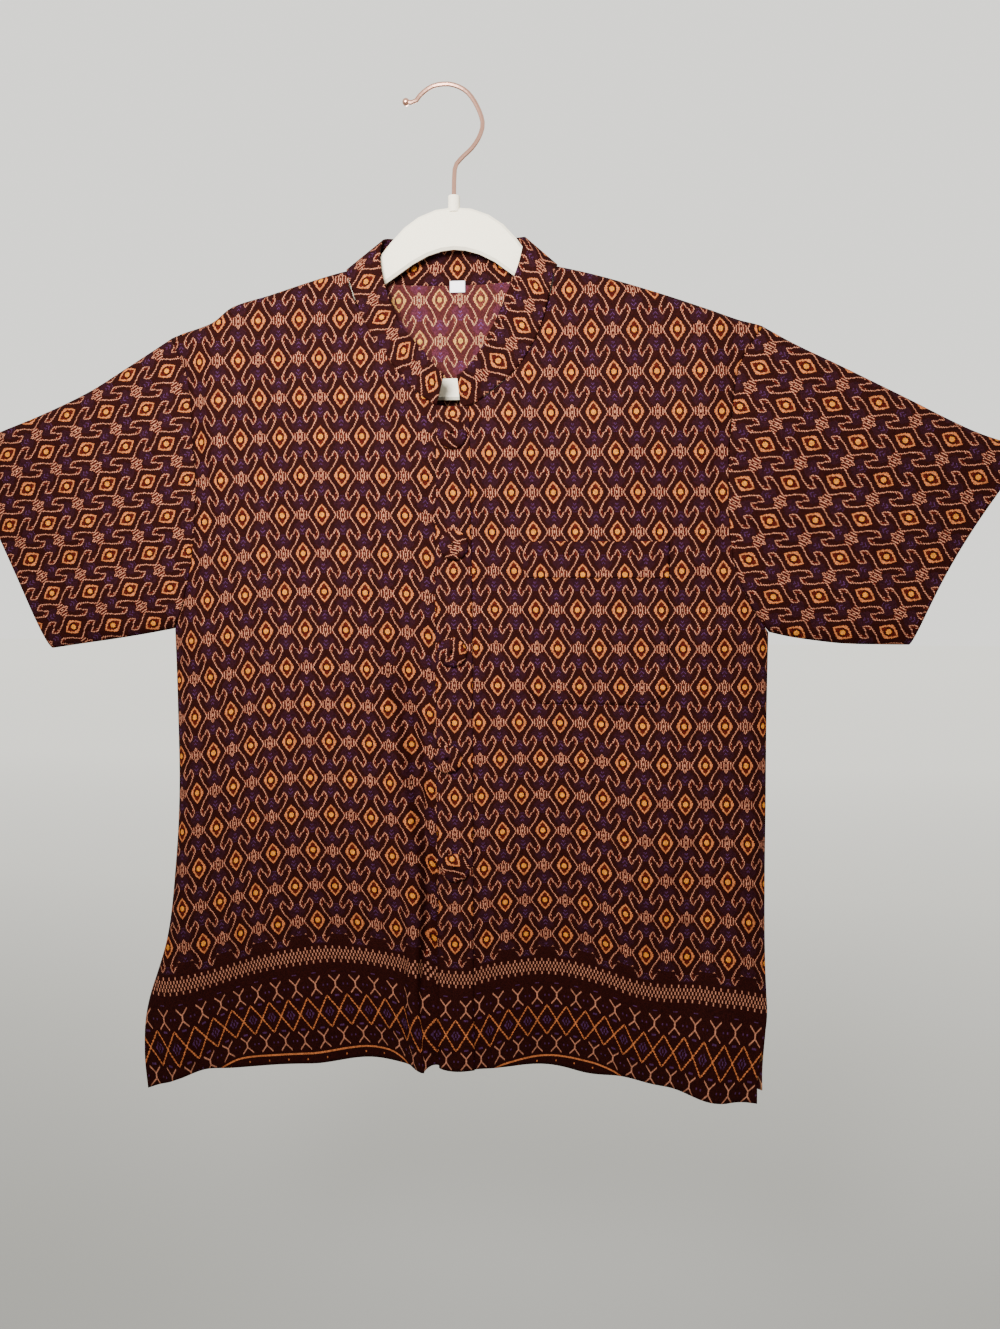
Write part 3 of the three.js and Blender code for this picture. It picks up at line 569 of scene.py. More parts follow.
LEFT_FRONT_LAY = ClothLay(
    face=-1,
    start=29.7,
    repeat=35.03,
    lean=0.035,
    lean_z=-725.0,
    border=Table(
        ("u", "z"),
        (
            (3.3, -760.7), (33.7, -754.4), (64.8, -749.6), (96.9, -749.7), (117.6, -753.1),
            (139, -757.7), (159.3, -762.9), (190.6, -765.7), (220.5, -764.8),
            (250.7, -766.8), (274.4, -772.1),
        ),
    ),
    line=Table(
        ("u", "z"),
        (
            (3, -850), (30, -851), (50, -846), (74, -842.4), (100, -840.5), (128.6, -840.2),
            (146, -846), (165, -856), (200, -858), (240, -861), (272, -862),
        ),
    ),
    heights=Table(("z", "v"), ((-497.5, 348), (-236.5, 612), (-168.1, 678))),
)
PLACKET_LAY = ClothLay(
    face=-1,
    start=2.0,
    repeat=35.5,
    lean=0.0,
    lean_z=-725.0,
    border=Table(("u", "z"), ((-12, -759.5), (18, -759.5))),
    line=Table(("u", "z"), ((-12, -850), (18, -850))),
    heights=Table(("z", "v"), ((-497.5, 348), (-236.5, 612), (-168.1, 678))),
)
BACK_LAY = ClothLay(
    face=1,
    start=4.0,
    repeat=35.5,
    lean=0.0,
    lean_z=-725.0,
    border=Table(("u", "z"), ((-260, -770), (-120, -762), (0, -758), (120, -760), (260, -766))),
    line=Table(("u", "z"), ((-260, -866), (-120, -856), (0, -850), (120, -852), (260, -860))),
    heights=Table(("z", "v"), ((-497.5, 348), (-236.5, 612), (-168.1, 678))),
)


# ---- Finishes ------------------------------------------------------------------------------
class Side(Enum):
    """Which side of the woven silk shows."""

    RIGHT = "right"
    WRONG = "wrong"


class Nodes:
    """Short ways to add shader nodes to one material."""

    def __init__(self, name: str) -> None:
        """Start an empty node material of this name."""
        self.material = bpy.data.materials.new(name)
        self.material.use_nodes = True
        self.tree = self.material.node_tree
        self.tree.nodes.clear()
        self.output = self.tree.nodes.new("ShaderNodeOutputMaterial")
        self.shader = self.tree.nodes.new("ShaderNodeBsdfPrincipled")
        self.link(self.shader.outputs[0], self.output.inputs["Surface"])

    def link(self, source: object, target: object) -> None:
        """Join one socket to another."""
        self.tree.links.new(source, target)

    def feed(self, socket: object, value: object) -> None:
        """Set a socket to a number, or join it to another socket."""
        if isinstance(value, bpy.types.NodeSocket):
            self.link(value, socket)
        else:
            socket.default_value = value

    def math(self, kind: str, *values: object) -> object:
        """Add a math node and return its result."""
        node = self.tree.nodes.new("ShaderNodeMath")
        node.operation = kind
        for socket, value in zip(node.inputs, values):
            self.feed(socket, value)
        return node.outputs[0]

    def within(self, value: object, low: float, high: float) -> object:
        """Return 1 where value lies between low and high."""
        above = self.math("GREATER_THAN", value, low)
        return self.math("MULTIPLY", above, self.math("LESS_THAN", value, high))

    def union(self, *values: object) -> object:
        """Return the largest of several masks."""
        result = values[0]
        for value in values[1:]:
            result = self.math("MAXIMUM", result, value)
        return result

    def both(self, *values: object) -> object:
        """Return the product of several masks."""
        result = values[0]
        for value in values[1:]:
            result = self.math("MULTIPLY", result, value)
        return result

    def ramp(
        self, value: object, stops: Sequence[tuple], interpolation: str = "CONSTANT"
    ) -> object:
        """Add a colour ramp and return its colour.

        Args:
            value: What it reads, from 0 to 1.
            stops: Pairs of place and colour.
            interpolation: How colours meet.

        Returns:
            The ramp's colour socket.
        """
        node = self.tree.nodes.new("ShaderNodeValToRGB")
        ramp = node.color_ramp
        ramp.interpolation = interpolation
        while len(ramp.elements) < len(stops):
            ramp.elements.new(1.0)
        for element, (place, colour) in zip(ramp.elements, stops):
            element.position = place
            element.color = (*colour, 1.0)
        self.feed(node.inputs[0], value)
        return node.outputs[0]

    def colour_mix(self, share: object, a: object, b: object, kind: str = "MIX") -> object:
        """Blend two colours by share and return the result."""
        node = self.tree.nodes.new("ShaderNodeMix")
        node.data_type = "RGBA"
        node.blend_type = kind
        self.feed(node.inputs[0], share)
        self.feed(node.inputs[6], a)
        self.feed(node.inputs[7], b)
        return node.outputs[2]

    def noise(self, vector: object, scale: float, detail: float = 2.0) -> object:
        """Add a noise texture and return its value."""
        node = self.tree.nodes.new("ShaderNodeTexNoise")
        node.inputs["Scale"].default_value = scale
        node.inputs["Detail"].default_value = detail
        self.link(vector, node.inputs["Vector"])
        return node.outputs[0]

    def white(self, vector: object) -> object:
        """Add white noise and return its value."""
        node = self.tree.nodes.new("ShaderNodeTexWhiteNoise")
        self.link(vector, node.inputs["Vector"])
        return node.outputs[0]

    def combine(self, x: object, y: object, z: object = 0.0) -> object:
        """Join three values to a vector."""
        node = self.tree.nodes.new("ShaderNodeCombineXYZ")
        for socket, value in zip(node.inputs, (x, y, z)):
            self.feed(socket, value)
        return node.outputs[0]

    def separate(self, vector: object) -> tuple:
        """Split a vector into its three values."""
        node = self.tree.nodes.new("ShaderNodeSeparateXYZ")
        self.link(vector, node.inputs[0])
        return tuple(node.outputs)

    def cloth_uv(self) -> object:
        """Return the cloth's flat coordinates."""
        node = self.tree.nodes.new("ShaderNodeUVMap")
        node.uv_map = UV_LAYER
        return node.outputs[0]

    def object_place(self) -> object:
        """Return places in the object's own coordinates."""
        return self.tree.nodes.new("ShaderNodeTexCoord").outputs["Object"]

    def bump(self, height: object, strength: float, distance: float) -> None:
        """Roughen the surface by a height."""
        node = self.tree.nodes.new("ShaderNodeBump")
        node.inputs["Strength"].default_value = strength
        node.inputs["Distance"].default_value = distance
        self.link(height, node.inputs["Height"])
        self.link(node.outputs[0], self.shader.inputs["Normal"])


# The repeat as a weaver would chart it: a quarter of it, from a knot's centre to a
# diamond's centre across, and from their row outward.
CHART = (
    "w.or.o.o......ddd..yyy",
    "w.or.o.o......ddd..yyy",
    "r.o.ro.ro......dd.r.yy",
    "r.o..o.ro......ddr..rr",
    ".oro.r...o......dd.r.r",
    "ro........o......dd.r.",
    "ro.::.....o......dd.rr",
    "o.::::.....o......dd.r",
    "..:::::.....o......dd.",
    ".:::::::.....o......dd",
    ":::::::::....o.......d",
    ":p:::::::.....o.......",
    "p::::::::.....o.......",
    ":::::::::......o......",
    "::p::::o:......o......",
    ":p::::o.o:......o.....",
    "p::::or.o:.....ro.....",
    ":::::o.r.o:....o.o....",
    "::::o.r..o:....r.o....",
    ":p::o.r...o:....ro..:.",
)
THREADS = ".:orywpd"
CHART_THREADS = 22.0  # threads in a line of the chart
HALF_ACROSS = 21.0  # threads from a knot's centre across to a diamond's
HALF_UP = 38.5  # threads from a row of diamonds up to the next, which is shifted
LINE_THREADS = 1.0132  # threads that one line of the chart is high


def linear(red: int, green: int, blue: int) -> tuple[float, float, float]:
    """Turn a display colour of 0 to 255 into scene values."""
    values = []
    for level in (red, green, blue):
        share = level / 255
        values.append(share / 12.92 if share <= 0.04045 else ((share + 0.055) / 1.055) ** 2.4)
    return tuple(values)


def dyed(red: int, green: int, blue: int) -> tuple[float, float, float]:
    """Turn a thread's lit display colour into its own scene values."""
    return tuple(value * DYE_DEPTH for value in linear(red, green, blue))


DYE_DEPTH = 0.47
PALETTES = {
    Side.RIGHT: (
        dyed(50, 14, 10), dyed(54, 20, 27), dyed(220, 144, 112), dyed(104, 28, 16),
        dyed(255, 156, 52), dyed(224, 150, 118), dyed(90, 50, 94), dyed(230, 132, 76),
    ),
    Side.WRONG: (
        dyed(98, 45, 44), dyed(106, 50, 64), dyed(252, 184, 138), dyed(150, 74, 58),
        dyed(255, 192, 88), dyed(246, 190, 162), dyed(126, 80, 134), dyed(252, 182, 106),
    ),
}


@dataclass(frozen=True)
class SilkFinish:
    """Patterned ikat silk, charted thread by thread in the cloth's own coordinates.

    Args:
        name: The material's name.
        side: Which side of the silk shows.
        border: True where the cloth has the hem border.
        drift_scale: Scale of the noise that moves the threads' colours across.
        drift: Range over which it moves them, in threads.
        speckle: How much the threads differ in brightness.
        least_speckle: Brightness of the darkest thread.
        thread_shade_depth: How much painted shade darkens a thread from its middle to its edge.
        least_painted_thread_shade: Brightness of that painted shade at a thread's edge.
        roughness: Roughness of the silk.
        specular: Strength of its gloss.
        slub_scale: Scale of its unevenness.
        slub: Strength of its unevenness.
        slub_height: Height of its unevenness, in metres.
    """

    name: str
    side: Side = Side.RIGHT
    border: bool = True
    drift_scale: float = 900.0
    drift: float = 1.3
    speckle: float = 0.8
    least_speckle: float = 0.7
    # Painted shade between threads: each thread darkens from its middle to its edge.
    thread_shade_depth: float = 0.75
    least_painted_thread_shade: float = 0.4
    roughness: float = 0.78
    specular: float = 0.03
    slub_scale: float = 90.0
    slub: float = 0.25
    slub_height: float = 0.0012

    def build(self) -> bpy.types.Material:
        """Make the material."""
        n = Nodes(self.name)
        palette = PALETTES[self.side]
        u, v, _ = n.separate(n.cloth_uv())
        blur = n.noise(n.cloth_uv(), self.drift_scale, 1.0)
        drift = n.math("MULTIPLY", n.math("SUBTRACT", blur, 0.5), self.drift)
        column = n.math("ADD", n.math("MULTIPLY", u, 1000 / THREAD_WIDTH), drift)
        row = n.math("MULTIPLY", v, 1000 / THREAD_HEIGHT)
        cell = n.combine(n.math("ROUND", column), n.math("ROUND", row))
        chart = self.chart(n, column, row)
        if self.border:
            chart = self.with_border(n, u, v, chart)
        steps = len(THREADS)
        stops = [(i / steps, colour) for i, colour in enumerate(palette)]
        colour = n.ramp(n.math("ADD", chart, 0.5 / steps), stops)
        speckle = n.math("MULTIPLY_ADD", n.white(cell), self.speckle, self.least_speckle)
        # Painted shade: each thread's colour is darkened toward its edges, where threads part.
        speckle = n.math("MULTIPLY", speckle, self.painted_thread_shade(n, column, row))
        shade = n.combine(speckle, speckle, speckle)
        colour = n.colour_mix(1.0, colour, shade, "MULTIPLY")
        n.link(colour, n.shader.inputs["Base Color"])
        n.shader.inputs["Roughness"].default_value = self.roughness
        n.shader.inputs["Specular IOR Level"].default_value = self.specular
        n.bump(n.noise(n.object_place(), self.slub_scale, 3.0), self.slub, self.slub_height)
        return n.material

    def painted_thread_shade(self, n: Nodes, column: object, row: object) -> object:
        """Return painted shade across each thread: light at its middle, darker toward its edges
        where threads part.
        """
        over = n.math("ABSOLUTE", n.math("COSINE", n.math("MULTIPLY", row, math.pi)))
        along = n.math("ABSOLUTE", n.math("COSINE", n.math("MULTIPLY", column, math.pi)))
        both = n.math("MULTIPLY", over, along)
        return n.math("MULTIPLY_ADD", both, self.thread_shade_depth, self.least_painted_thread_shade)

    def chart(self, n: Nodes, column: object, row: object) -> object:
        """Read the chart at a thread's place and return its colour number as a share."""
        across = n.math("PINGPONG", column, HALF_ACROSS)
        lowest = LOWEST_ROW / THREAD_HEIGHT
        up = n.math("PINGPONG", n.math("SUBTRACT", row, lowest), HALF_UP)
        turned = n.math("GREATER_THAN", up, HALF_UP / 2)
        keep = n.math("SUBTRACT", 1.0, turned)
        sign = n.math("SUBTRACT", keep, turned)
        x = n.math("MULTIPLY_ADD", across, sign, n.math("MULTIPLY", turned, HALF_ACROSS))
        y = n.math("MULTIPLY_ADD", up, sign, n.math("MULTIPLY", turned, HALF_UP))
        line = n.math("ROUND", n.math("DIVIDE", y, LINE_THREADS))
        place = n.math("DIVIDE", n.math("ADD", x, 0.5), CHART_THREADS)
        total = 0.0
        for index, threads in enumerate(CHART):
            stops = []
            for i, thread in enumerate(threads):
                if i == 0 or threads[i - 1] != thread:
                    share = colour_share(thread)
                    stops.append((i / CHART_THREADS, (share, share, share)))
            value = n.ramp(place, stops)
            here = n.math("COMPARE", line, float(index), 0.5)
            total = n.math("MULTIPLY_ADD", value, here, total)
        return total

    def with_border(self, n: Nodes, u: object, v: object, chart: object) -> object:
        """Put the woven hem border under the chart.

        Args:
            n: The material's nodes.
            u: Place across the cloth, in metres.
            v: Place up the cloth, in metres.
            chart: The chart's colour number there.

        Returns:
            The colour number with the border below, as a share.
        """
        width = in_threads(n, u, THREAD_WIDTH)
        high = in_threads(n, v, THREAD_HEIGHT)
        below = BORDER.build(n, u, v, width, high)
        main = n.math("GREATER_THAN", high, BORDER.top)
        across = n.math("PINGPONG", n.math("DIVIDE", width, THREAD_WIDTH), HALF_ACROSS)
        low = n.math("LESS_THAN", high, BORDER.knots_from)
        cut = n.both(low, n.math("LESS_THAN", across, BORDER.knot_threads))
        main = n.math("MAXIMUM", n.math("SUBTRACT", main, cut), 0.0)
        rest = n.math("LESS_THAN", high, BORDER.top)
        return n.math("MULTIPLY_ADD", chart, main, n.math("MULTIPLY", below, rest))


def in_threads(n: Nodes, place: object, size: float) -> object:
    """Return a place of metres in millimetres, moved to the middle of its thread."""
    threads = n.math("ROUND", n.math("MULTIPLY", place, 1000 / size))
    return n.math("MULTIPLY", threads, size)


def colour_share(thread: str) -> float:
    """Return a thread's colour number as a share."""
    return THREADS.index(thread) / len(THREADS)


@dataclass(frozen=True)
class Border:
    """The woven hem border, in millimetres of flat cloth from just over the hem's line.

    Args:
        top: Height where the main pattern starts.
        knots_from: Height below which the main pattern's knots are left out.
        knot_threads: Half width of such a knot, in threads.
        middle: Height of the lattice's centre line.
        lattice: Half width and half height of one of the lattice's diamonds.
        crosses: Heights of the two rows of crosses.
        flecks: Heights of the three rows of flecks.
        pairs: Lower and upper edges of the rows of paired dots.
        line: Lower and upper edge of the hem's line.
        ticks: Lower and upper edge of the ticks under it.
        step: Height of one step of the band over the border.
        post: Width of one step of it.
        steps: Most steps, across and up together, in one of its diamonds.
        block: Half width and half height of what fills a step, as shares of it.
        arm: Slope, start and half width of a cross's arms.
        arm_reach: How far they reach across.
        bar: Half width and half height of the bar through a cross.
        ring: Shares of the lattice's diamond between which its edge lies.
        ring_over: How far that edge runs past the diamond's tip.
        dots: Shares between which the dots round its centre lie.
        dots_from: How far from the diamond's centre line they start.
        heart: Half width and half height of the dot at its centre.
        pair: Distances between which a dot of a pair lies.
        fleck: Half width and half height of a fleck.
        tick: Half width of a tick.
    """

    top: float = 95.0
    knots_from: float = 104.5
    knot_threads: float = 9.4
    middle: float = 33.0
    lattice: tuple[float, float] = (8.9, 14.3)
    crosses: tuple[float, float] = (57.0, 9.2)
    flecks: tuple[float, ...] = (68.5, 46.6, 19.4)
    pairs: tuple[tuple[float, float], ...] = ((56.4, 57.6), (8.4, 9.8))
    line: tuple[float, float] = (-3.9, -2.3)
    ticks: tuple[float, float] = (-9.4, -7.6)
    step: float = 3.2
    post: float = 1.52
    steps: float = 2.5
    block: tuple[float, float] = (0.36, 0.43)
    arm: tuple[float, float, float] = (1.2, 2.2, 0.8)
    arm_reach: float = 4.9
    bar: tuple[float, float] = (0.6, 2.8)
    ring: tuple[float, float] = (0.94, 1.07)
    ring_over: float = 0.5
    dots: tuple[float, float] = (0.3, 0.42)
    dots_from: float = 0.8
    heart: tuple[float, float] = (0.5, 1.4)
    pair: tuple[float, float] = (1.3, 2.4)
    fleck: tuple[float, float] = (1.9, 0.7)
    tick: float = 0.5

    def off(self, n: Nodes, value: object, other: object) -> object:
        """Return how far one value lies from another."""
        return n.math("ABSOLUTE", n.math("SUBTRACT", value, other))

    def box(self, n: Nodes, x: object, up: object, size: tuple[float, float]) -> object:
        """Mask what lies within a half width and a half height."""
        return n.both(n.math("LESS_THAN", x, size[0]), n.math("LESS_THAN", up, size[1]))

    def cross(self, n: Nodes, high: object, far: object, middle: float) -> object:
        """Mask a cross with a short bar through its centre.

        Args:
            n: The material's nodes.
            high: Height in the cloth.
            far: Distance across from the cross's centre.
            middle: Height of its centre.

        Returns:
            The mask.
        """
        up = self.off(n, high, middle)
        slope, start, half = self.arm
        arm = n.math("MULTIPLY_ADD", far, slope, start)
        near = n.math("LESS_THAN", self.off(n, up, arm), half)
        bar = self.box(n, far, up, self.bar)
        return n.union(n.both(near, n.math("LESS_THAN", far, self.arm_reach)), bar)

    def band(self, n: Nodes, v: object, fine: object) -> object:
        """Mask the band over the border, a row of small stepped diamonds.

        Args:
            n: The material's nodes.
            v: Place up the cloth, in metres.
            fine: Place across the cloth, in millimetres.

        Returns:
            The mask.
        """
        above = n.math("SUBTRACT", n.math("MULTIPLY", v, 1000.0), BORDER_LINE)
        steps = n.math("DIVIDE", above, self.step)
        whole = n.math("ROUND", steps)
        level = n.math("ABSOLUTE", whole)
        post = n.math("PINGPONG", n.math("DIVIDE", fine, self.post), 2.0)
        nearest = n.math("ROUND", post)
        parity = n.math("PINGPONG", n.math("ADD", nearest, level), 1.0)
        inside = n.math("LESS_THAN", n.math("ADD", nearest, level), self.steps)
        block = self.box(n, self.off(n, post, nearest), self.off(n, steps, whole), self.block)
        return n.both(n.math("LESS_THAN", parity, 0.5), inside, block)

    def build(self, n: Nodes, u: object, v: object, width: object, high: object) -> object:
        """Return the border's colour number as a share.

        Args:
            n: The material's nodes.
            u: Place across the cloth, in metres.
            v: Place up the cloth, in metres.
            width: Place across in millimetres, in whole threads.
            high: Place up in millimetres, in whole threads.

        Returns:
            The colour number there.
        """
        fine = n.math("MULTIPLY", u, 1000.0)
        x = n.math("PINGPONG", fine, REPEAT_WIDTH / 4)
        far = n.math("SUBTRACT", REPEAT_WIDTH / 4, x)
        ring_x = n.math("PINGPONG", width, REPEAT_WIDTH / 4)
        up = self.off(n, high, self.middle)
        wide, tall = self.lattice
        ring = n.math("ADD", n.math("DIVIDE", ring_x, wide), n.math("DIVIDE", up, tall))
        zigzag = n.both(
            n.within(ring, *self.ring), n.math("LESS_THAN", up, tall + self.ring_over)
        )
        dots = n.both(n.within(ring, *self.dots), n.math("GREATER_THAN", x, self.dots_from))
        heart = self.box(n, x, up, self.heart)
        rows = n.union(*(n.within(high, *edges) for edges in self.pairs))
        pairs = n.both(n.within(x, *self.pair), rows)
        flecks = [self.box(n, far, self.off(n, high, at), self.fleck) for at in self.flecks]
        line = n.within(high, *self.line)
        ticks = n.both(n.within(high, *self.ticks), n.math("LESS_THAN", far, self.tick))
        crosses = [self.cross(n, high, far, middle) for middle in self.crosses]
        below = n.math("MULTIPLY", n.union(self.band(n, v, fine), *crosses), colour_share("o"))
        lattice = n.union(zigzag, ticks, line)
        below = n.union(below, n.math("MULTIPLY", lattice, colour_share("d")))
        small = n.union(dots, pairs, *flecks, heart)
        return n.union(below, n.math("MULTIPLY", small, colour_share("p")))


BORDER = Border()


@dataclass(frozen=True)
class PlainFinish:
    """One even colour with a soft grain.

    Args:
        name: The material's name.
        colour: Its colour, in scene values.
        roughness: Its roughness.
        metallic: 1 for metal.
        sheen: Strength of its nap's sheen.
        grain: Scale of its grain.
        strength: Strength of its grain's relief.
        grain_height: Height of its grain, in metres.
        tone_range: How much its grain differs in brightness.
        least_tone: Brightness of the darkest grain.
    """

    name: str
    colour: tuple[float, float, float]
    roughness: float
    metallic: float = 0.0
    sheen: float = 0.0
    grain: float = 400.0
    strength: float = 0.1
    grain_height: float = 0.0006
    tone_range: float = 0.14
    least_tone: float = 0.93

    def build(self) -> bpy.types.Material:
        """Make the material."""
        n = Nodes(self.name)
        grain = n.noise(n.object_place(), self.grain, 2.0)
        tone = n.math("MULTIPLY_ADD", grain, self.tone_range, self.least_tone)
        shade = n.combine(tone, tone, tone)
        colour = n.colour_mix(1.0, (*self.colour, 1.0), shade, "MULTIPLY")
        n.link(colour, n.shader.inputs["Base Color"])
        n.shader.inputs["Roughness"].default_value = self.roughness
        n.shader.inputs["Metallic"].default_value = self.metallic
        n.shader.inputs["Sheen Weight"].default_value = self.sheen
        n.bump(grain, self.strength, self.grain_height)
        return n.material


@dataclass
class Finishes:
    """Every finish of the part, made once."""

    silk: bpy.types.Material = field(default_factory=lambda: SilkFinish("silk_right").build())
    wrong: bpy.types.Material = field(
        default_factory=lambda: SilkFinish("silk_wrong", Side.WRONG).build()
    )
    plain_silk: bpy.types.Material = field(
        default_factory=lambda: SilkFinish("silk_no_border", border=False).build()
    )
    plain_wrong: bpy.types.Material = field(
        default_factory=lambda: SilkFinish("silk_wrong_no_border", Side.WRONG, False).build()
    )
    velvet: bpy.types.Material = field(
        default_factory=lambda: PlainFinish(
            "ivory_velvet", linear(228, 219, 196), 0.95, sheen=0.06, grain=900.0, strength=0.35
        ).build()
    )
    wire: bpy.types.Material = field(
        default_factory=lambda: PlainFinish(
            "rose_gold_wire", linear(196, 148, 128), 0.3, metallic=1.0, grain=150.0, strength=0.02
        ).build()
    )
    tape: bpy.types.Material = field(
        default_factory=lambda: PlainFinish(
            "white_tape", linear(240, 236, 240), 0.7, grain=1500.0
        ).build()
    )


def attach(obj: bpy.types.Object, node: str, slot: str, *materials: bpy.types.Material) -> None:
    """Give a piece its materials and its place in the frame.

    Args:
        obj: The finished piece.
        node: The CAD node that it stands for.
        slot: Not used.
        materials: Its materials, in slot order.
    """
    obj.data.materials.clear()
    for material in materials:
        obj.data.materials.append(material)
    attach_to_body(obj, "root")
    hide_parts(node)
    LOG.info("%s: %d faces", obj.name, len(obj.data.polygons))


# ---- Body panels ---------------------------------------------------------------------------
def panel_rows(above: int, below: int, crowding: float) -> tuple[np.ndarray, np.ndarray]:
    """Spread rows from a panel's top edge to its hem.

    Args:
        above: Number of rows down to the armpit.
        below: Number of rows below it.
        crowding: Power by which the rows crowd toward the top edge.

    Returns:
        Each row's share of the way to the armpit, and its share from there to the hem.
    """
    upper = np.concatenate([np.linspace(0, 1, above) ** crowding, np.ones(below)])
    lower = np.concatenate([np.zeros(above), np.linspace(0, 1, below + 1)[1:]])
    return upper, lower


@dataclass
class BodyPanel:
    """A front or the back of the shirt.

    Args:
        node: The CAD node's name.
        face: -1 for a front, 1 for the back.
        columns: Where columns leave the top edge, and where they hang below the armpit.
        top: The top edge's middle part, the neck.
        hem: The hem's height.
        sides: Which side edges it has, as -1 and 1.
        vents: How far each side edge draws in below its vent.
        lay: How its cloth was laid.
        flat: Width and length of its cut, in metres; not used.
        area: The cut's area, in square metres; not used.
        tuck: How far its middle edge steps back.
        across: Number of places across.
    """

    node: str
    face: int
    columns: tuple
    top: Table
    hem: Table
    sides: tuple[int, ...]
    vents: dict[int, float]
    lay: ClothLay
    flat: tuple[float, float]
    area: float
    tuck: float = 0.0
    across: int = 90

    def top_z(self, x: np.ndarray) -> np.ndarray:
        """Return the top edge's height at x."""
        keys = self.top.column("x")
        inside = (x > keys[0]) & (x < keys[-1])
        return np.where(inside, self.top.read("z", x), SHOULDER.read("z", x))

    def places(self, share: np.ndarray, upper: np.ndarray, lower: np.ndarray) -> tuple:
        """Return x and z of places on the panel.

        Args:
            share: Place along the table of columns, 0 to 1.
            upper: 0 at the top edge to 1 at the armpit.
            lower: 0 at the armpit to 1 at the hem.

        Returns:
            The places' x and z.
        """
        ends = np.array(self.columns, dtype=float)
        at = share * (len(ends) - 1)
        number = np.arange(len(ends))
        top, low = np.interp(at, number, ends[:, 0]), np.interp(at, number, ends[:, 1])
        eased = smooth(upper, 0, 1) ** COLUMN_EASE
        free = mix(top, low, eased)
        hang = mix(ARMPIT_Z, self.hem.read("z", free), lower)
        z = np.where(lower > 0, hang, mix(self.top_z(top), ARMPIT_Z, upper))
        x = free
        for side in self.sides:
            name = "left" if side < 0 else "right"
            outer = ends[np.argmax(side * ends[:, 1])]
            free_outer = mix(outer[0], outer[1], eased)
            drawn_in = side * self.vents[side] * smooth(VENT_TOP_Z - z, 0, VENT_RISE)
            edge = np.where(lower > 0, BODY.read(name, z) - drawn_in, ARMHOLES.read(name, upper))
            toward = np.clip(free / free_outer, 0, 1)
            here = low * side > 0 if len(self.sides) > 1 else np.ones_like(low, bool)
            x = np.where(here, free + (edge - free_outer) * toward**2, x)
        return x, z

    def build(self) -> bpy.types.Object:
        """Make the panel's shell."""
        upper, lower = panel_rows(66, 110, crowding=1.8)
        share = np.linspace(0, 1, self.across)
        grid = np.broadcast_arrays(share[None, :], upper[:, None], lower[:, None])
        x, z = self.places(*grid)
        y = body_y(self.face, x, z) + self.face * SEAM / 2
        y = y + self.tuck * smooth(x, TUCK_START, TUCK_END)
        points = np.stack([x, y, z], axis=-1)
        outward = np.zeros_like(points)
        outward[..., 1] = self.face
        outward[..., 2] = 0.05
        normals = grid_normals(points, outward)
        creases = FRONT_CREASES if self.face < 0 else BACK_CREASES
        near, far = CREASE_EDGES
        edge = np.minimum(smooth(share, 0, near), 1 - smooth(share, far, 1))[None, :]
        out = crease_out(creases, x, z)
        if self.face < 0:
            out = out + drape_out(x, z)
        out = out * edge * smooth(upper, *CREASE_TOP)[:, None]
        points = points + normals * out[..., None]
        uvs = self.lay.flat(x, z)
        return grid_sheet(self.node + "_cloth", points, outward, uvs, SHEET)

    def dress(self, obj: bpy.types.Object, finishes: Finishes) -> None:
        """Give the panel its silk."""
        attach(obj, self.node, "silk", finishes.silk, finishes.wrong)


# ---- Sleeves -------------------------------------------------------------------------------
SLEEVE_COLUMNS = ("out", "topX", "topZ", "lowX", "lowZ", "front", "back")
LEFT_SLEEVE = Table(
    SLEEVE_COLUMNS,
    (
        (0, -250, -197.5, -255.5, -452, 10, 9), (0.17, -287, -219, -277, -456, 11, 9),
        (0.36, -327, -241.5, -298, -459.5, 11, 9), (0.56, -370, -260, -321, -463, 11, 9),
        (0.77, -410, -274.5, -346, -466.5, 10, 9), (1, -449, -289, -373, -470.5, 9, 8),
    ),
)
RIGHT_SLEEVE = Table(
    SLEEVE_COLUMNS,
    (
        (0, 257, -198.5, 269, -452, 10, 9), (0.13, 283, -213, 285, -455.5, 11, 9),
        (0.3, 320, -231, 306, -458.5, 11, 9), (0.53, 369, -255.5, 331, -461, 11, 9),
        (0.8, 430, -286, 362, -461.5, 10, 9), (1, 472, -300, 385, -461.5, 9, 8),
    ),
)


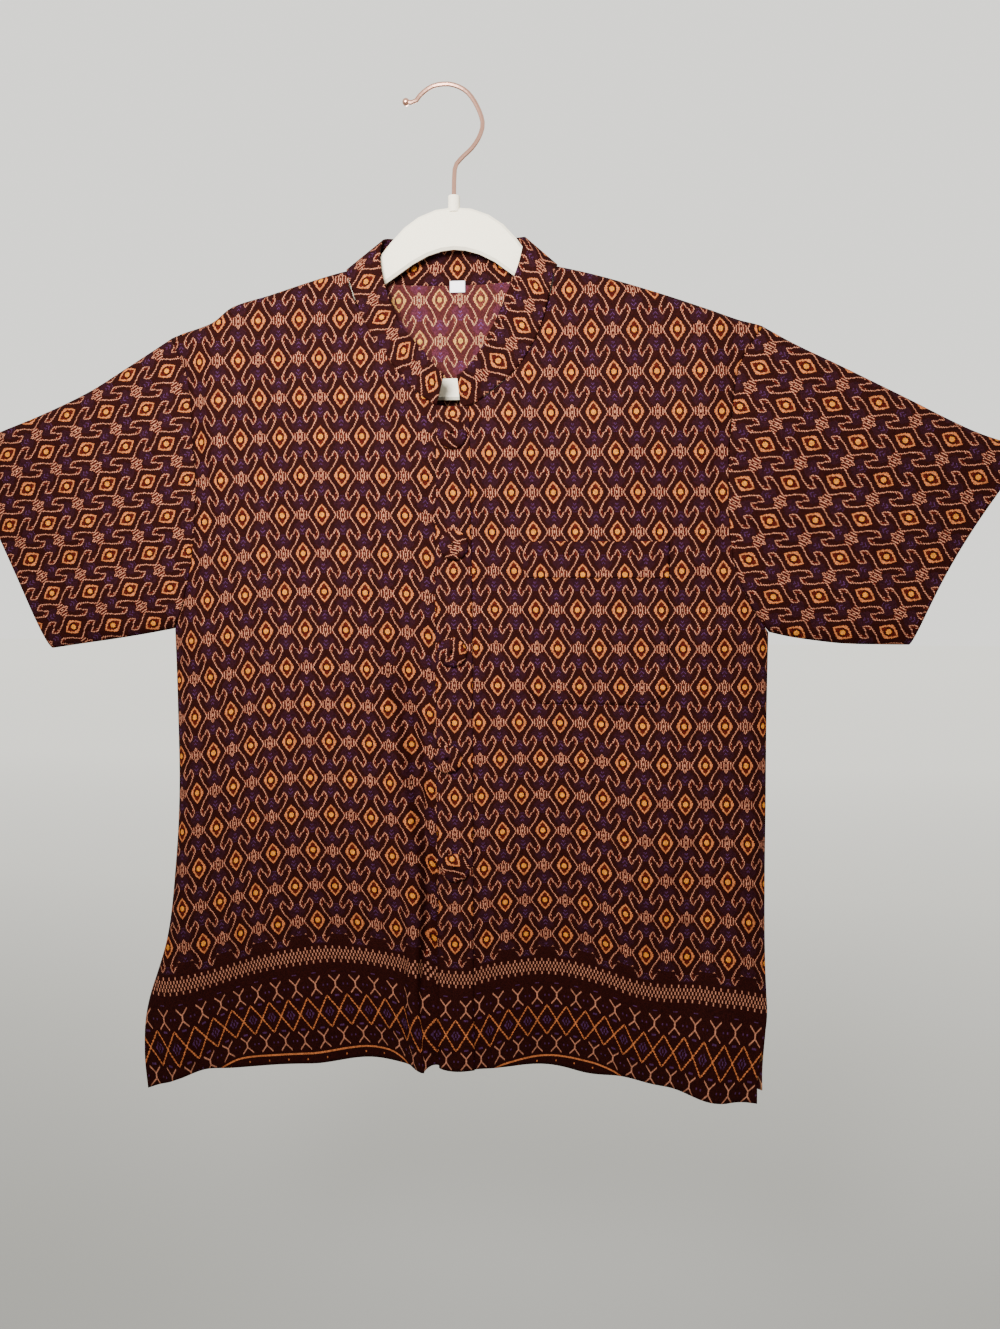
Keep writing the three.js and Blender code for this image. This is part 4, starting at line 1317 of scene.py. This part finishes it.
@dataclass
class Sleeve:
    """One sleeve, a flattened tube that stands out from the armhole.

    Args:
        node: The CAD node's name.
        side: -1 for the sleeve at negative x, 1 for the other.
        rows: Its outline along its length.
        dip: How far its hem bows out.
        origin: Flat coordinates where the middle of the armhole lies.
        turn: Angle of its length below level, in degrees.
        flat: Width all round and length of its cut, in metres; not used.
        area: The cut's area, in square metres; not used.
        tucks: How far its edge keeps off the armhole at the top, the side and the armpit;
            below 0 it reaches under the body.
        sampling: Share of the armhole over which its slope is measured.
        rings: Number of places along it.
        spokes: Number of places round it.
        shoulder: Place across and up from which its cloth is measured.
        crease_shift: How far creases are moved on each layer, as a share of its height.
    """

    node: str
    side: int
    rows: Table
    dip: float
    origin: tuple[float, float]
    turn: float
    flat: tuple[float, float] = (0.53, 0.24)
    area: float = 0.088
    tucks: tuple[float, float, float] = (-0.5, 0.4, 0.9)
    sampling: float = 0.02
    rings: int = 64
    spokes: int = 160
    shoulder: tuple[float, float] = (250, -198)
    crease_shift: float = 0.03

    def place(self, out: np.ndarray, down: np.ndarray, face: np.ndarray) -> np.ndarray:
        """Return places on the sleeve.

        Args:
            out: 0 at the armhole to 1 at the hem.
            down: 0 at the top edge to 1 at the underarm seam.
            face: -1 for the front layer, 1 for the back.

        Returns:
            The places, the last axis (x, y, z).
        """
        name = "left" if self.side < 0 else "right"
        read = self.rows.read
        base_x = mix(read("topX", out), read("lowX", out), down)
        base_z = mix(read("topZ", out), read("lowZ", out), down)
        start_x = mix(read("topX", 0), read("lowX", 0), down)
        hem = -self.side * self.dip * np.sin(down * np.pi)
        full = np.sqrt(np.maximum(1 - np.abs(2 * down - 1) ** SLEEVE_FULLNESS, 0))
        depth = np.where(face < 0, read("front", out), read("back", out))
        own = face * depth * full
        seam_x = ARMHOLES.read(name, down)
        seam_z = mix(read("topZ", 0), ARMPIT_Z, down)
        joined = np.where(face < 0, body_y(-1, seam_x, seam_z), body_y(1, seam_x, seam_z))
        half = self.sampling / 2
        run = ARMHOLES.read(name, down + half) - ARMHOLES.read(name, down - half)
        fall = self.sampling * (read("topZ", 0) - ARMPIT_Z)
        length = np.hypot(fall, run)
        at_top, at_side, at_armpit = self.tucks
        upper = mix(at_top, at_side, smooth(down, 0.12, 0.3))
        width = mix(upper, at_armpit, down**8) * (1 - out)
        x = base_x + (seam_x - start_x) * (1 - out) ** 2 + hem * out * out
        return np.stack(
            [
                x + self.side * fall / length * width,
                mix(joined, own, smooth(out, 0, SLEEVE_JOIN)),
                base_z + self.side * run / length * width,
            ],
            axis=-1,
        )

    def build(self) -> bpy.types.Object:
        """Make the sleeve's shell."""
        outs = np.linspace(0, 1, self.rings)
        angles = np.linspace(0, 2 * np.pi, self.spokes, endpoint=False)
        out, angle = np.meshgrid(outs, angles, indexing="ij")
        down = (1 - np.cos(angle)) / 2
        face = np.where(np.sin(angle) >= 0, -1, 1)
        points = self.place(out, down, face)
        outward = np.zeros_like(points)
        outward[..., 1] = face * (0.02 + np.abs(np.sin(angle)))
        outward[..., 2] = np.cos(angle)
        normals = grid_normals(points, outward)
        creases = crease_out(SLEEVE_CREASES, out, down + self.crease_shift * face)
        held = smooth(out, 0, 0.05) * np.abs(np.sin(angle)) ** 0.5
        points = points + normals * (creases * held)[..., None]
        slope = math.radians(self.turn)
        run_x, run_z = self.side * math.cos(slope), -math.sin(slope)
        from_x = points[..., 0] - self.side * self.shoulder[0]
        from_z = points[..., 2] - self.shoulder[1]
        along = from_x * run_x + from_z * run_z
        over = (from_x * -run_z + from_z * run_x) * self.side
        uvs = np.stack([over + self.origin[0], along + self.origin[1]], axis=-1)
        return grid_sheet(self.node + "_cloth", points, outward, uvs, SHEET, loop=True)

    def dress(self, obj: bpy.types.Object, finishes: Finishes) -> None:
        """Give the sleeve its silk."""
        attach(obj, self.node, "silk", finishes.plain_silk, finishes.plain_wrong)


# ---- Collar --------------------------------------------------------------------------------
COLLAR = (
    ("front", -11.9, -4.8, -27.5, -237.4), ("front", -17, -8.5, -28, -234.5),
    ("front", -27, -14.5, -27.5, -228.5), ("front", -40, -23.5, -26.5, -216.5),
    ("front", -56, -37, -23, -202), ("front", -67, -45, -20, -190),
    ("front", -75, -51, -16.5, -176.5), ("front", -82, -56.5, -12, -161.5),
    ("front", -87, -60.5, -9, -145), ("front", -89.5, -61.5, -6, -131),
    ("shoulder", -91, -59.5, 0.5, -121), ("back", -75, -50, 7.5, -117.5),
    ("back", -50, -35, 11, -117), ("back", -25, -18, 12.3, -117.5),
    ("back", 0, 0, 12.7, -117.5), ("back", 25, 18, 12.3, -117.5),
    ("back", 50, 35, 11, -118), ("back", 72, 50, 7.5, -119.5),
    ("shoulder", 87, 59.5, 0.5, -122.5), ("front", 85.3, 59, -6, -130),
    ("front", 83, 56, -9, -144), ("front", 80, 51.5, -12, -158),
    ("front", 76, 46.5, -16, -171), ("front", 71, 41.5, -19, -184),
    ("front", 65, 36.5, -22, -196), ("front", 58, 31, -24.5, -206.5),
    ("front", 50, 26, -26, -217), ("front", 33, 15.5, -28, -231),
    ("front", 18, 9.5, -29, -237), ("front", 8.5, 6.3, -29, -238.5),
)


@dataclass
class Collar:
    """The stand collar, a band of doubled cloth round the neck.

    Args:
        node: The CAD node's name.
        tuck: How far its under end steps back.
        flat: Length and height of its cut, in metres; not used.
        start: Flat cloth coordinates of its first end.
    """

    node: str = "collar"
    tuck: float = 2.3
    flat: tuple[float, float] = (0.52, 0.036)
    start: tuple[float, float] = (9.0, 102.0)

    def seam(self, station: tuple) -> tuple[float, float, float]:
        """Return where a station meets the neckline."""
        panel, x = station[0], station[1]
        z = float(NECKLINE.read("z", x) if panel == "front" else BACK_NECK.read("z", x))
        y = float(body_y(1 if panel == "back" else -1, np.array(x), np.array(z)))
        if panel == "front" and x < 0:
            y += self.tuck * float(smooth(x, TUCK_START, TUCK_END))
        return x, 0.0 if panel == "shoulder" else y, z

    def build(self) -> bpy.types.Object:
        """Make the collar's shell."""
        seams = np.array([self.seam(station) for station in COLLAR])
        tops = np.array([station[2:] for station in COLLAR], dtype=float)
        number = np.arange(len(COLLAR), dtype=float)
        at = np.linspace(0, len(COLLAR) - 1, len(COLLAR) * 7)
        names = ("k", "x", "y", "z")
        foot_table = Table(names, tuple(zip(number, *seams.T)))
        top_table = Table(names, tuple(zip(number, *tops.T)))
        foot = np.stack([foot_table.read(axis, at) for axis in "xyz"], axis=-1)
        top = np.stack([top_table.read(axis, at) for axis in "xyz"], axis=-1)
        gap = np.where(np.abs(foot[:, 0]) > COLLAR_TURN_X, COLLAR_TURN_GAP, SEAM)
        height = np.linalg.norm(top - foot, axis=-1)
        up = mix((gap / height)[None, :], 1.0, np.linspace(0, 1, 14)[:, None])
        points = mix(foot[None], top[None], up[..., None])
        outward = unit(np.cross(np.gradient(points[0], axis=0), top - foot))
        outward = np.broadcast_to(outward[None], points.shape)
        middle = points[len(points) // 2]
        run = np.concatenate([[0], np.cumsum(np.linalg.norm(np.diff(middle, axis=0), axis=-1))])
        u = np.broadcast_to(run + self.start[0], up.shape)
        uvs = np.stack([u, up * height + self.start[1]], axis=-1)
        return grid_sheet(self.node + "_cloth", points, outward, uvs, COLLAR_CLOTH)

    def dress(self, obj: bpy.types.Object, finishes: Finishes) -> None:
        """Give the collar its silk."""
        attach(obj, self.node, "silk_band", finishes.plain_silk, finishes.plain_silk)


# ---- What lies on the fronts ---------------------------------------------------------------
def on_front(x: np.ndarray, z: np.ndarray, lift: float) -> np.ndarray:
    """Return places over the front, lifted along its normals.

    Args:
        x: Places across, a grid.
        z: Places up, a grid.
        lift: How far over the front's outer side, in millimetres.

    Returns:
        The places, the last axis (x, y, z).
    """
    points = np.stack([x, body_y(-1, x, z) - SEAM / 2, z], axis=-1)
    step = 0.5
    along = (body_y(-1, x + step, z) - body_y(-1, x - step, z)) / (2 * step)
    up = (body_y(-1, x, z + step) - body_y(-1, x, z - step)) / (2 * step)
    normals = unit(np.stack([along, -np.ones_like(along), up], axis=-1))
    out = crease_out(FRONT_CREASES, x, z) + drape_out(x, z)
    return points + normals * (lift + out)[..., None]


@dataclass
class Placket:
    """The strip down the edge of the upper front.

    Args:
        node: The CAD node's name.
        lift: How far over the front its outer side lies.
        thickness: Its thickness.
        flat: Width and length of its cut, in metres; not used.
    """

    node: str = "placket"
    lift: float = 1.4
    thickness: float = 1.1
    flat: tuple[float, float] = (0.031, 0.59)

    def build(self) -> bpy.types.Object:
        """Make the strip's shell."""
        front = replace(LEFT_FRONT, columns=FRONT_LEFT_COLUMNS[:3], sides=())
        upper, lower = panel_rows(60, 110, crowding=1.3)
        share = np.linspace(0, 1, 14)
        grid = np.broadcast_arrays(share[None, :], upper[:, None], lower[:, None])
        x, z = front.places(*grid)
        points = on_front(x, z, self.lift)
        outward = np.zeros_like(points)
        outward[..., 1] = -1
        uvs = PLACKET_LAY.flat(x, z)
        return grid_sheet(self.node + "_cloth", points, outward, uvs, self.thickness)

    def dress(self, obj: bpy.types.Object, finishes: Finishes) -> None:
        """Give the strip its silk."""
        attach(obj, self.node, "silk_band", finishes.silk, finishes.wrong)


@dataclass
class Patch:
    """A patch of cloth sewn on the front: the pocket, or the band across its top.

    Args:
        node: The CAD node's name.
        top: Height of its top edge.
        bottom: Height of its bottom edge.
        lift: How far over the front its outer side lies.
        shift: How far its pattern is off the front's, across and up.
        flat: Width and length of its cut, in metres; not used.
        left: Left edge of the pocket.
        right: Right edge of the pocket.
        foot: Height of the pocket's bottom edge.
        height: The pocket's height.
        corner: Size of its cut corners.
        lean: How far its foot lies to the right of its top.
    """

    node: str
    top: float
    bottom: float
    lift: float
    shift: tuple[float, float]
    flat: tuple[float, float]
    left: float = 61.0
    right: float = 182.0
    foot: float = -512.0
    height: float = 137.0
    corner: float = 14.0
    lean: float = -2.0

    def build(self) -> bpy.types.Object:
        """Make the patch's shell."""
        zs = np.linspace(self.top, self.bottom, 50)
        top_of_pocket = self.foot + self.height
        down = (top_of_pocket - zs) / self.height
        cut = np.clip(self.corner - (zs - self.foot), 0, self.corner)
        left = self.left + cut - self.lean * down
        right = self.right - cut - self.lean * down
        share = np.linspace(0, 1, 48)
        x = mix(left[:, None], right[:, None], share[None, :])
        z = np.broadcast_to(zs[:, None], x.shape)
        points = on_front(x, z, self.lift)
        outward = np.zeros_like(points)
        outward[..., 1] = -1
        uvs = LEFT_FRONT_LAY.flat(x, z) + np.array(self.shift)
        return grid_sheet(self.node + "_cloth", points, outward, uvs, SHEET)

    def dress(self, obj: bpy.types.Object, finishes: Finishes) -> None:
        """Give the patch its silk."""
        attach(obj, self.node, "silk_band", finishes.silk, finishes.wrong)


@dataclass
class Button:
    """A domed button covered with the shirt's cloth.

    Args:
        number: Its number from the top.
        x: Place of its centre across.
        z: Place of its centre up.
        turn: How its cloth is turned, in degrees.
        radius: Its radius.
        height: Height that the dome's rise is worked out from.
        foot: Radius of its back.
        seat: How far over the front it sits.
        rim: Height of its straight rim.
        base: What the dome leaves out of that height.
        foot_drop: How far its back stands out.
        rises: Shares of the dome's height, a ring at a time.
        probe: How far from its centre the front's slope is measured.
        cloth_step: How far its cloth is moved on from the last button's.
    """

    number: int
    x: float
    z: float
    turn: float
    radius: float = 12.5
    height: float = 4.6
    foot: float = 11.0
    seat: float = 1.7
    rim: float = 1.2
    base: float = 2.4
    foot_drop: float = 0.8
    rises: tuple[float, ...] = (0.32, 0.26, 0.2, 0.13, 0.07, 0.02)
    probe: float = 4
    cloth_step: tuple[float, float] = (9.7, 14.3)

    def build(self) -> bpy.types.Object:
        """Make the button by shaping a cylinder, then set it on the front."""
        bpy.ops.object.select_all(action="DESELECT")
        bpy.ops.mesh.primitive_cylinder_add(
            vertices=48, radius=self.radius * MM, depth=self.rim * MM
        )
        obj = bpy.context.object
        obj.name = f"button_{self.number}_cover"
        obj.data.name = obj.name
        bpy.ops.object.mode_set(mode="EDIT")
        bpy.ops.mesh.select_all(action="DESELECT")
        bpy.ops.object.mode_set(mode="OBJECT")
        for polygon in obj.data.polygons:
            polygon.select = polygon.normal.z > 0.9
        bpy.ops.object.mode_set(mode="EDIT")
        rise = (self.height - self.base) * MM
        for share in self.rises:
            bpy.ops.mesh.inset(thickness=self.radius * MM * (0.26 - share * 0.35))
            bpy.ops.transform.translate(value=(0, 0, rise * share))
        bpy.ops.mesh.select_all(action="DESELECT")
        bpy.ops.object.mode_set(mode="OBJECT")
        for polygon in obj.data.polygons:
            polygon.select = polygon.normal.z < -0.9
        bpy.ops.object.mode_set(mode="EDIT")
        bpy.ops.mesh.inset(thickness=(self.radius - self.foot) * MM)
        bpy.ops.transform.translate(value=(0, 0, -self.foot_drop * MM))
        bpy.ops.object.mode_set(mode="OBJECT")
        self.set_down(obj)
        return obj

    def set_down(self, obj: bpy.types.Object) -> None:
        """Move the button's mesh to its seat and lay its cloth coordinates."""
        mesh = obj.data
        flat = np.empty(len(mesh.vertices) * 3)
        mesh.vertices.foreach_get("co", flat)
        local = flat.reshape(-1, 3) / MM
        local[:, 2] -= local[:, 2].min()
        centre = on_front(np.array([[self.x]]), np.array([[self.z]]), self.seat)[0, 0]
        near = on_front(
            np.array([[self.x, self.x + self.probe, self.x - self.probe, self.x]]),
            np.array([[self.z + self.probe, self.z, self.z, self.z - self.probe]]),
            self.seat,
        )[0]
        right = unit(near[1] - near[2])
        up = unit(near[0] - near[3])
        out = unit(np.cross(up, right))
        out = out if out[1] < 0 else -out
        up = np.cross(out, right) * -1
        placed = centre + local[:, :1] * right + local[:, 1:2] * up + local[:, 2:] * out
        mesh.vertices.foreach_set("co", (placed * MM).ravel())
        angle = math.radians(self.turn)
        u = local[:, 0] * math.cos(angle) - local[:, 1] * math.sin(angle)
        v = local[:, 0] * math.sin(angle) + local[:, 1] * math.cos(angle)
        shift = self.number * np.array(self.cloth_step)
        uvs = np.stack([u, v + LOWEST_ROW + 200], axis=-1) + shift
        for old in list(mesh.uv_layers):
            mesh.uv_layers.remove(old)
        layer = mesh.uv_layers.new(name=UV_LAYER)
        corner = np.empty(len(mesh.loops), dtype=np.int32)
        mesh.loops.foreach_get("vertex_index", corner)
        layer.data.foreach_set("uv", (uvs[corner] * MM).astype(np.float32).ravel())
        mesh.polygons.foreach_set("use_smooth", [True] * len(mesh.polygons))
        mesh.update()
        if np.linalg.det(np.stack([right, up, out])) < 0:
            mesh.flip_normals()

    def dress(self, obj: bpy.types.Object, finishes: Finishes) -> None:
        """Cover the button with silk."""
        attach(obj, f"button_{self.number}", "silk_band", finishes.plain_silk)


@dataclass
class NeckLabel:
    """The plain folded tape inside the back of the neck.

    Args:
        node: The CAD node's name.
        left: Its left edge.
        right: Its right edge.
        top: Height of both leaves' upper ends.
        bottom: Height of its fold.
        tape: Its thickness.
        back_leaf: How far its hidden leaf lies in front of the back.
        turn: How far its fold's centre lies in front of the back.
        front_leaf: How far its visible leaf lies in front of the back.
        bend: Radius of its fold.
        lift: How far over its bottom the fold begins.
        flat: Width and length of its cut, in metres; not used.
    """

    node: str = "neck_label"
    left: float = -4.5
    right: float = 8.5
    top: float = -153.5
    bottom: float = -163.0
    tape: float = 0.2
    back_leaf: float = 0.2
    turn: float = 0.45
    front_leaf: float = 0.7
    bend: float = 0.25
    lift: float = 0.3
    flat: tuple[float, float] = (0.015, 0.02)

    def build(self) -> bpy.types.Object:
        """Make the folded tape's shell."""
        inside = float(body_y(1, np.array(1.5), np.array(self.bottom))) - CLOTH - SEAM
        fold = np.linspace(-math.pi / 2, math.pi / 2, 9)
        near, far = inside - self.back_leaf, inside - self.front_leaf
        turn_y = inside - self.turn + self.bend * -np.sin(fold)
        y = np.concatenate([[near] * 6, turn_y, [far] * 6])
        foot = self.bottom + self.lift
        up = np.linspace(self.top, foot, 6)
        z = np.concatenate([up, foot - self.bend * np.cos(fold), up[::-1]])
        share = np.linspace(self.left, self.right, 12)
        x, y = np.meshgrid(share, y)
        z = np.broadcast_to(z[:, None], x.shape)
        points = np.stack([x, y, z], axis=-1)
        uvs = np.stack([x, z], axis=-1)
        away = np.array([0.0, inside - self.turn, (self.top + self.bottom) / 2])
        outward = points - away
        outward[..., 0] = 0
        return grid_sheet(self.node + "_tape", points, outward, uvs, self.tape)

    def dress(self, obj: bpy.types.Object, finishes: Finishes) -> None:
        """Give the tape its finish."""
        attach(obj, self.node, "white_tape", finishes.tape, finishes.tape)


@dataclass
class Hanger:
    """The velvet hanger and its wire hook, shown by their CAD nodes."""

    nodes: tuple[tuple[str, str], ...] = (("hanger_body", "velvet"), ("hanger_hook", "wire"))

    def dress(self, finishes: Finishes) -> None:
        """Give the CAD nodes their finishes."""
        for name, finish in self.nodes:
            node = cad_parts[name]
            for slot in node.material_slots:
                slot.material = getattr(finishes, finish)
            LOG.info("%s: dressed", name)


# ---- The studio ----------------------------------------------------------------------------
@dataclass(frozen=True)
class Studio:
    """Camera, lights and the floor, with painted shade that darkens it toward the front.

    Args:
        floor_z: The floor's height.
        camera_at: Place of the camera.
        pitch: The camera's tilt from straight down, in degrees.
        yaw: Its turn to the left, in degrees.
        lens: Its focal length, in millimetres.
        spot: Width of the lights' cones, in degrees.
        floor_size: Width of the floor.
        floor_reach: Distance over which the floor's tones are spread.
        painted_floor_shade: Pairs of distance behind the shirt and brightness, a painted shade
            that darkens the floor toward the front.
        floor_tint: Share of red, green and blue in those tones.
        lights: Name, place, radius, watts and aim of each light.
        sky: Colour of the even light from all round.
        sky_strength: Its strength.
    """

    floor_z: float = -1.45
    camera_at: tuple[float, float, float] = (0.1196, -0.8351, -0.3935)
    pitch: float = 84.0
    yaw: float = 5.5
    lens: float = 34.56
    spot: float = 87.0
    floor_size: float = 24
    floor_reach: float = 10.0
    # Painted shade: the floor's brightness falls from 0.98 far back to 0.33 near the shirt.
    painted_floor_shade: tuple = ((0.2, 0.33), (1.2, 0.49), (2.2, 0.69), (4.2, 0.92), (9.0, 0.98))
    floor_tint: tuple[float, float, float] = (1.0, 0.995, 0.965)
    lights: tuple = (
        ("key", (-0.12, -0.82, -0.05), 0.16, 114.0, (-0.01, 0, -0.22)),
        ("back", (0.15, 1.6, -0.3), 0.3, 220.0, (0, 0, -0.4)),
    )
    sky: tuple[int, int, int] = (224, 223, 217)
    sky_strength: float = 1.95

    def build_camera(self) -> None:
        """Set the camera."""
        data = bpy.data.cameras.new("camera")
        data.lens = self.lens
        data.sensor_width = 36
        data.sensor_fit = "HORIZONTAL"
        camera = bpy.data.objects.new("camera", data)
        camera.location = self.camera_at
        camera.rotation_euler = (math.radians(self.pitch), 0, math.radians(self.yaw))
        bpy.context.scene.collection.objects.link(camera)
        bpy.context.scene.camera = camera

    def build_light(self, name: str, at: tuple, radius: float, watts: float, aim: tuple) -> None:
        """Add one soft spot that looks at a place and fades toward its rim.

        Args:
            name: The light's name.
            at: Its place.
            radius: Its radius, which softens the shadows.
            watts: Its power.
            aim: The place that it looks at.
        """
        data = bpy.data.lights.new(name, "SPOT")
        data.shadow_soft_size = radius
        data.spot_size = math.radians(self.spot)
        data.spot_blend = 0.9
        data.energy = watts
        light = bpy.data.objects.new(name, data)
        light.location = at
        away = np.array(at) - np.array(aim)
        yaw = math.atan2(away[0], -away[1])
        tilt = math.atan2(math.hypot(away[0], away[1]), away[2])
        light.rotation_euler = (tilt, 0, yaw)
        bpy.context.scene.collection.objects.link(light)

    def build_floor(self) -> None:
        """Make the floor, near white far off, with painted shade darkening it to mid grey toward
        the front.
        """
        bpy.ops.object.select_all(action="DESELECT")
        bpy.ops.mesh.primitive_plane_add(size=self.floor_size, location=(0, 0, self.floor_z))
        floor = bpy.context.object
        floor.name = "floor"
        n = Nodes("floor_with_painted_shade")
        _, y, _ = n.separate(n.object_place())
        tones = []
        # Painted shade: the floor's colour darkens toward the front.
        for place, tone in self.painted_floor_shade:
            shades = tuple(tone * share for share in self.floor_tint)
            tones.append((place / self.floor_reach, shades))
        colour = n.ramp(n.math("DIVIDE", y, self.floor_reach), tones, "LINEAR")
        n.link(colour, n.shader.inputs["Base Color"])
        n.shader.inputs["Roughness"].default_value = 0.95
        n.shader.inputs["Specular IOR Level"].default_value = 0.0
        floor.data.materials.append(n.material)

    def build(self) -> None:
        """Make the studio round the shirt."""
        for light in self.lights:
            self.build_light(*light)
        world = bpy.data.worlds.new("studio")
        world.use_nodes = True
        background = world.node_tree.nodes["Background"]
        background.inputs["Color"].default_value = (*linear(*self.sky), 1)
        background.inputs["Strength"].default_value = self.sky_strength
        bpy.context.scene.world = world
        self.build_floor()


RIGHT_FRONT = BodyPanel(
    "front_right", -1, FRONT_RIGHT_COLUMNS, NECKLINE, FRONT_HEM, (-1,), {-1: 2.0},
    RIGHT_FRONT_LAY, (0.32, 0.745), 0.185, tuck=2.3,
)
LEFT_FRONT = BodyPanel(
    "front_left", -1, FRONT_LEFT_COLUMNS, NECKLINE, FRONT_HEM, (1,), {1: 11.0},
    LEFT_FRONT_LAY, (0.32, 0.745), 0.185,
)
BACK_PANEL = BodyPanel(
    "back", 1, BACK_COLUMNS, BACK_NECK, BACK_HEM, (-1, 1), {-1: 6.0, 1: 5.0},
    BACK_LAY, (0.58, 0.745), 0.38, across=150,
)
BUTTONS = (
    Button(1, 1.8, -286, 20), Button(2, 2.4, -378, 75), Button(3, 0.5, -469, -35),
    Button(4, -4.0, -562, 10), Button(5, 2.7, -658, 50),
)


def main() -> None:
    """Build the looks piece by piece."""
    logging.basicConfig(level=logging.INFO, format="%(name)s %(message)s")
    studio = Studio()
    studio.build_camera()
    studio.build()
    finishes = Finishes()
    pieces = [
        RIGHT_FRONT, LEFT_FRONT, BACK_PANEL,
        Sleeve("sleeve_right", -1, LEFT_SLEEVE, 1.0, (24.0, 68.0), 31.0),
        Sleeve("sleeve_left", 1, RIGHT_SLEEVE, 8.0, (30.0, 64.0), 27.0),
        Collar(), Placket(),
        Patch("pocket", -375.0, -512.0, 1.4, (0.0, 0.0), (0.121, 0.137)),
        Patch("pocket_band", -375.0, -405.0, 2.6, (-23.0, 3.0), (0.121, 0.03)),
        *BUTTONS, NeckLabel(),
    ]
    for piece in pieces:
        piece.dress(piece.build(), finishes)
    Hanger().dress(finishes)
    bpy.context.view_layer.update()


if __name__ == "__main__":
    main()
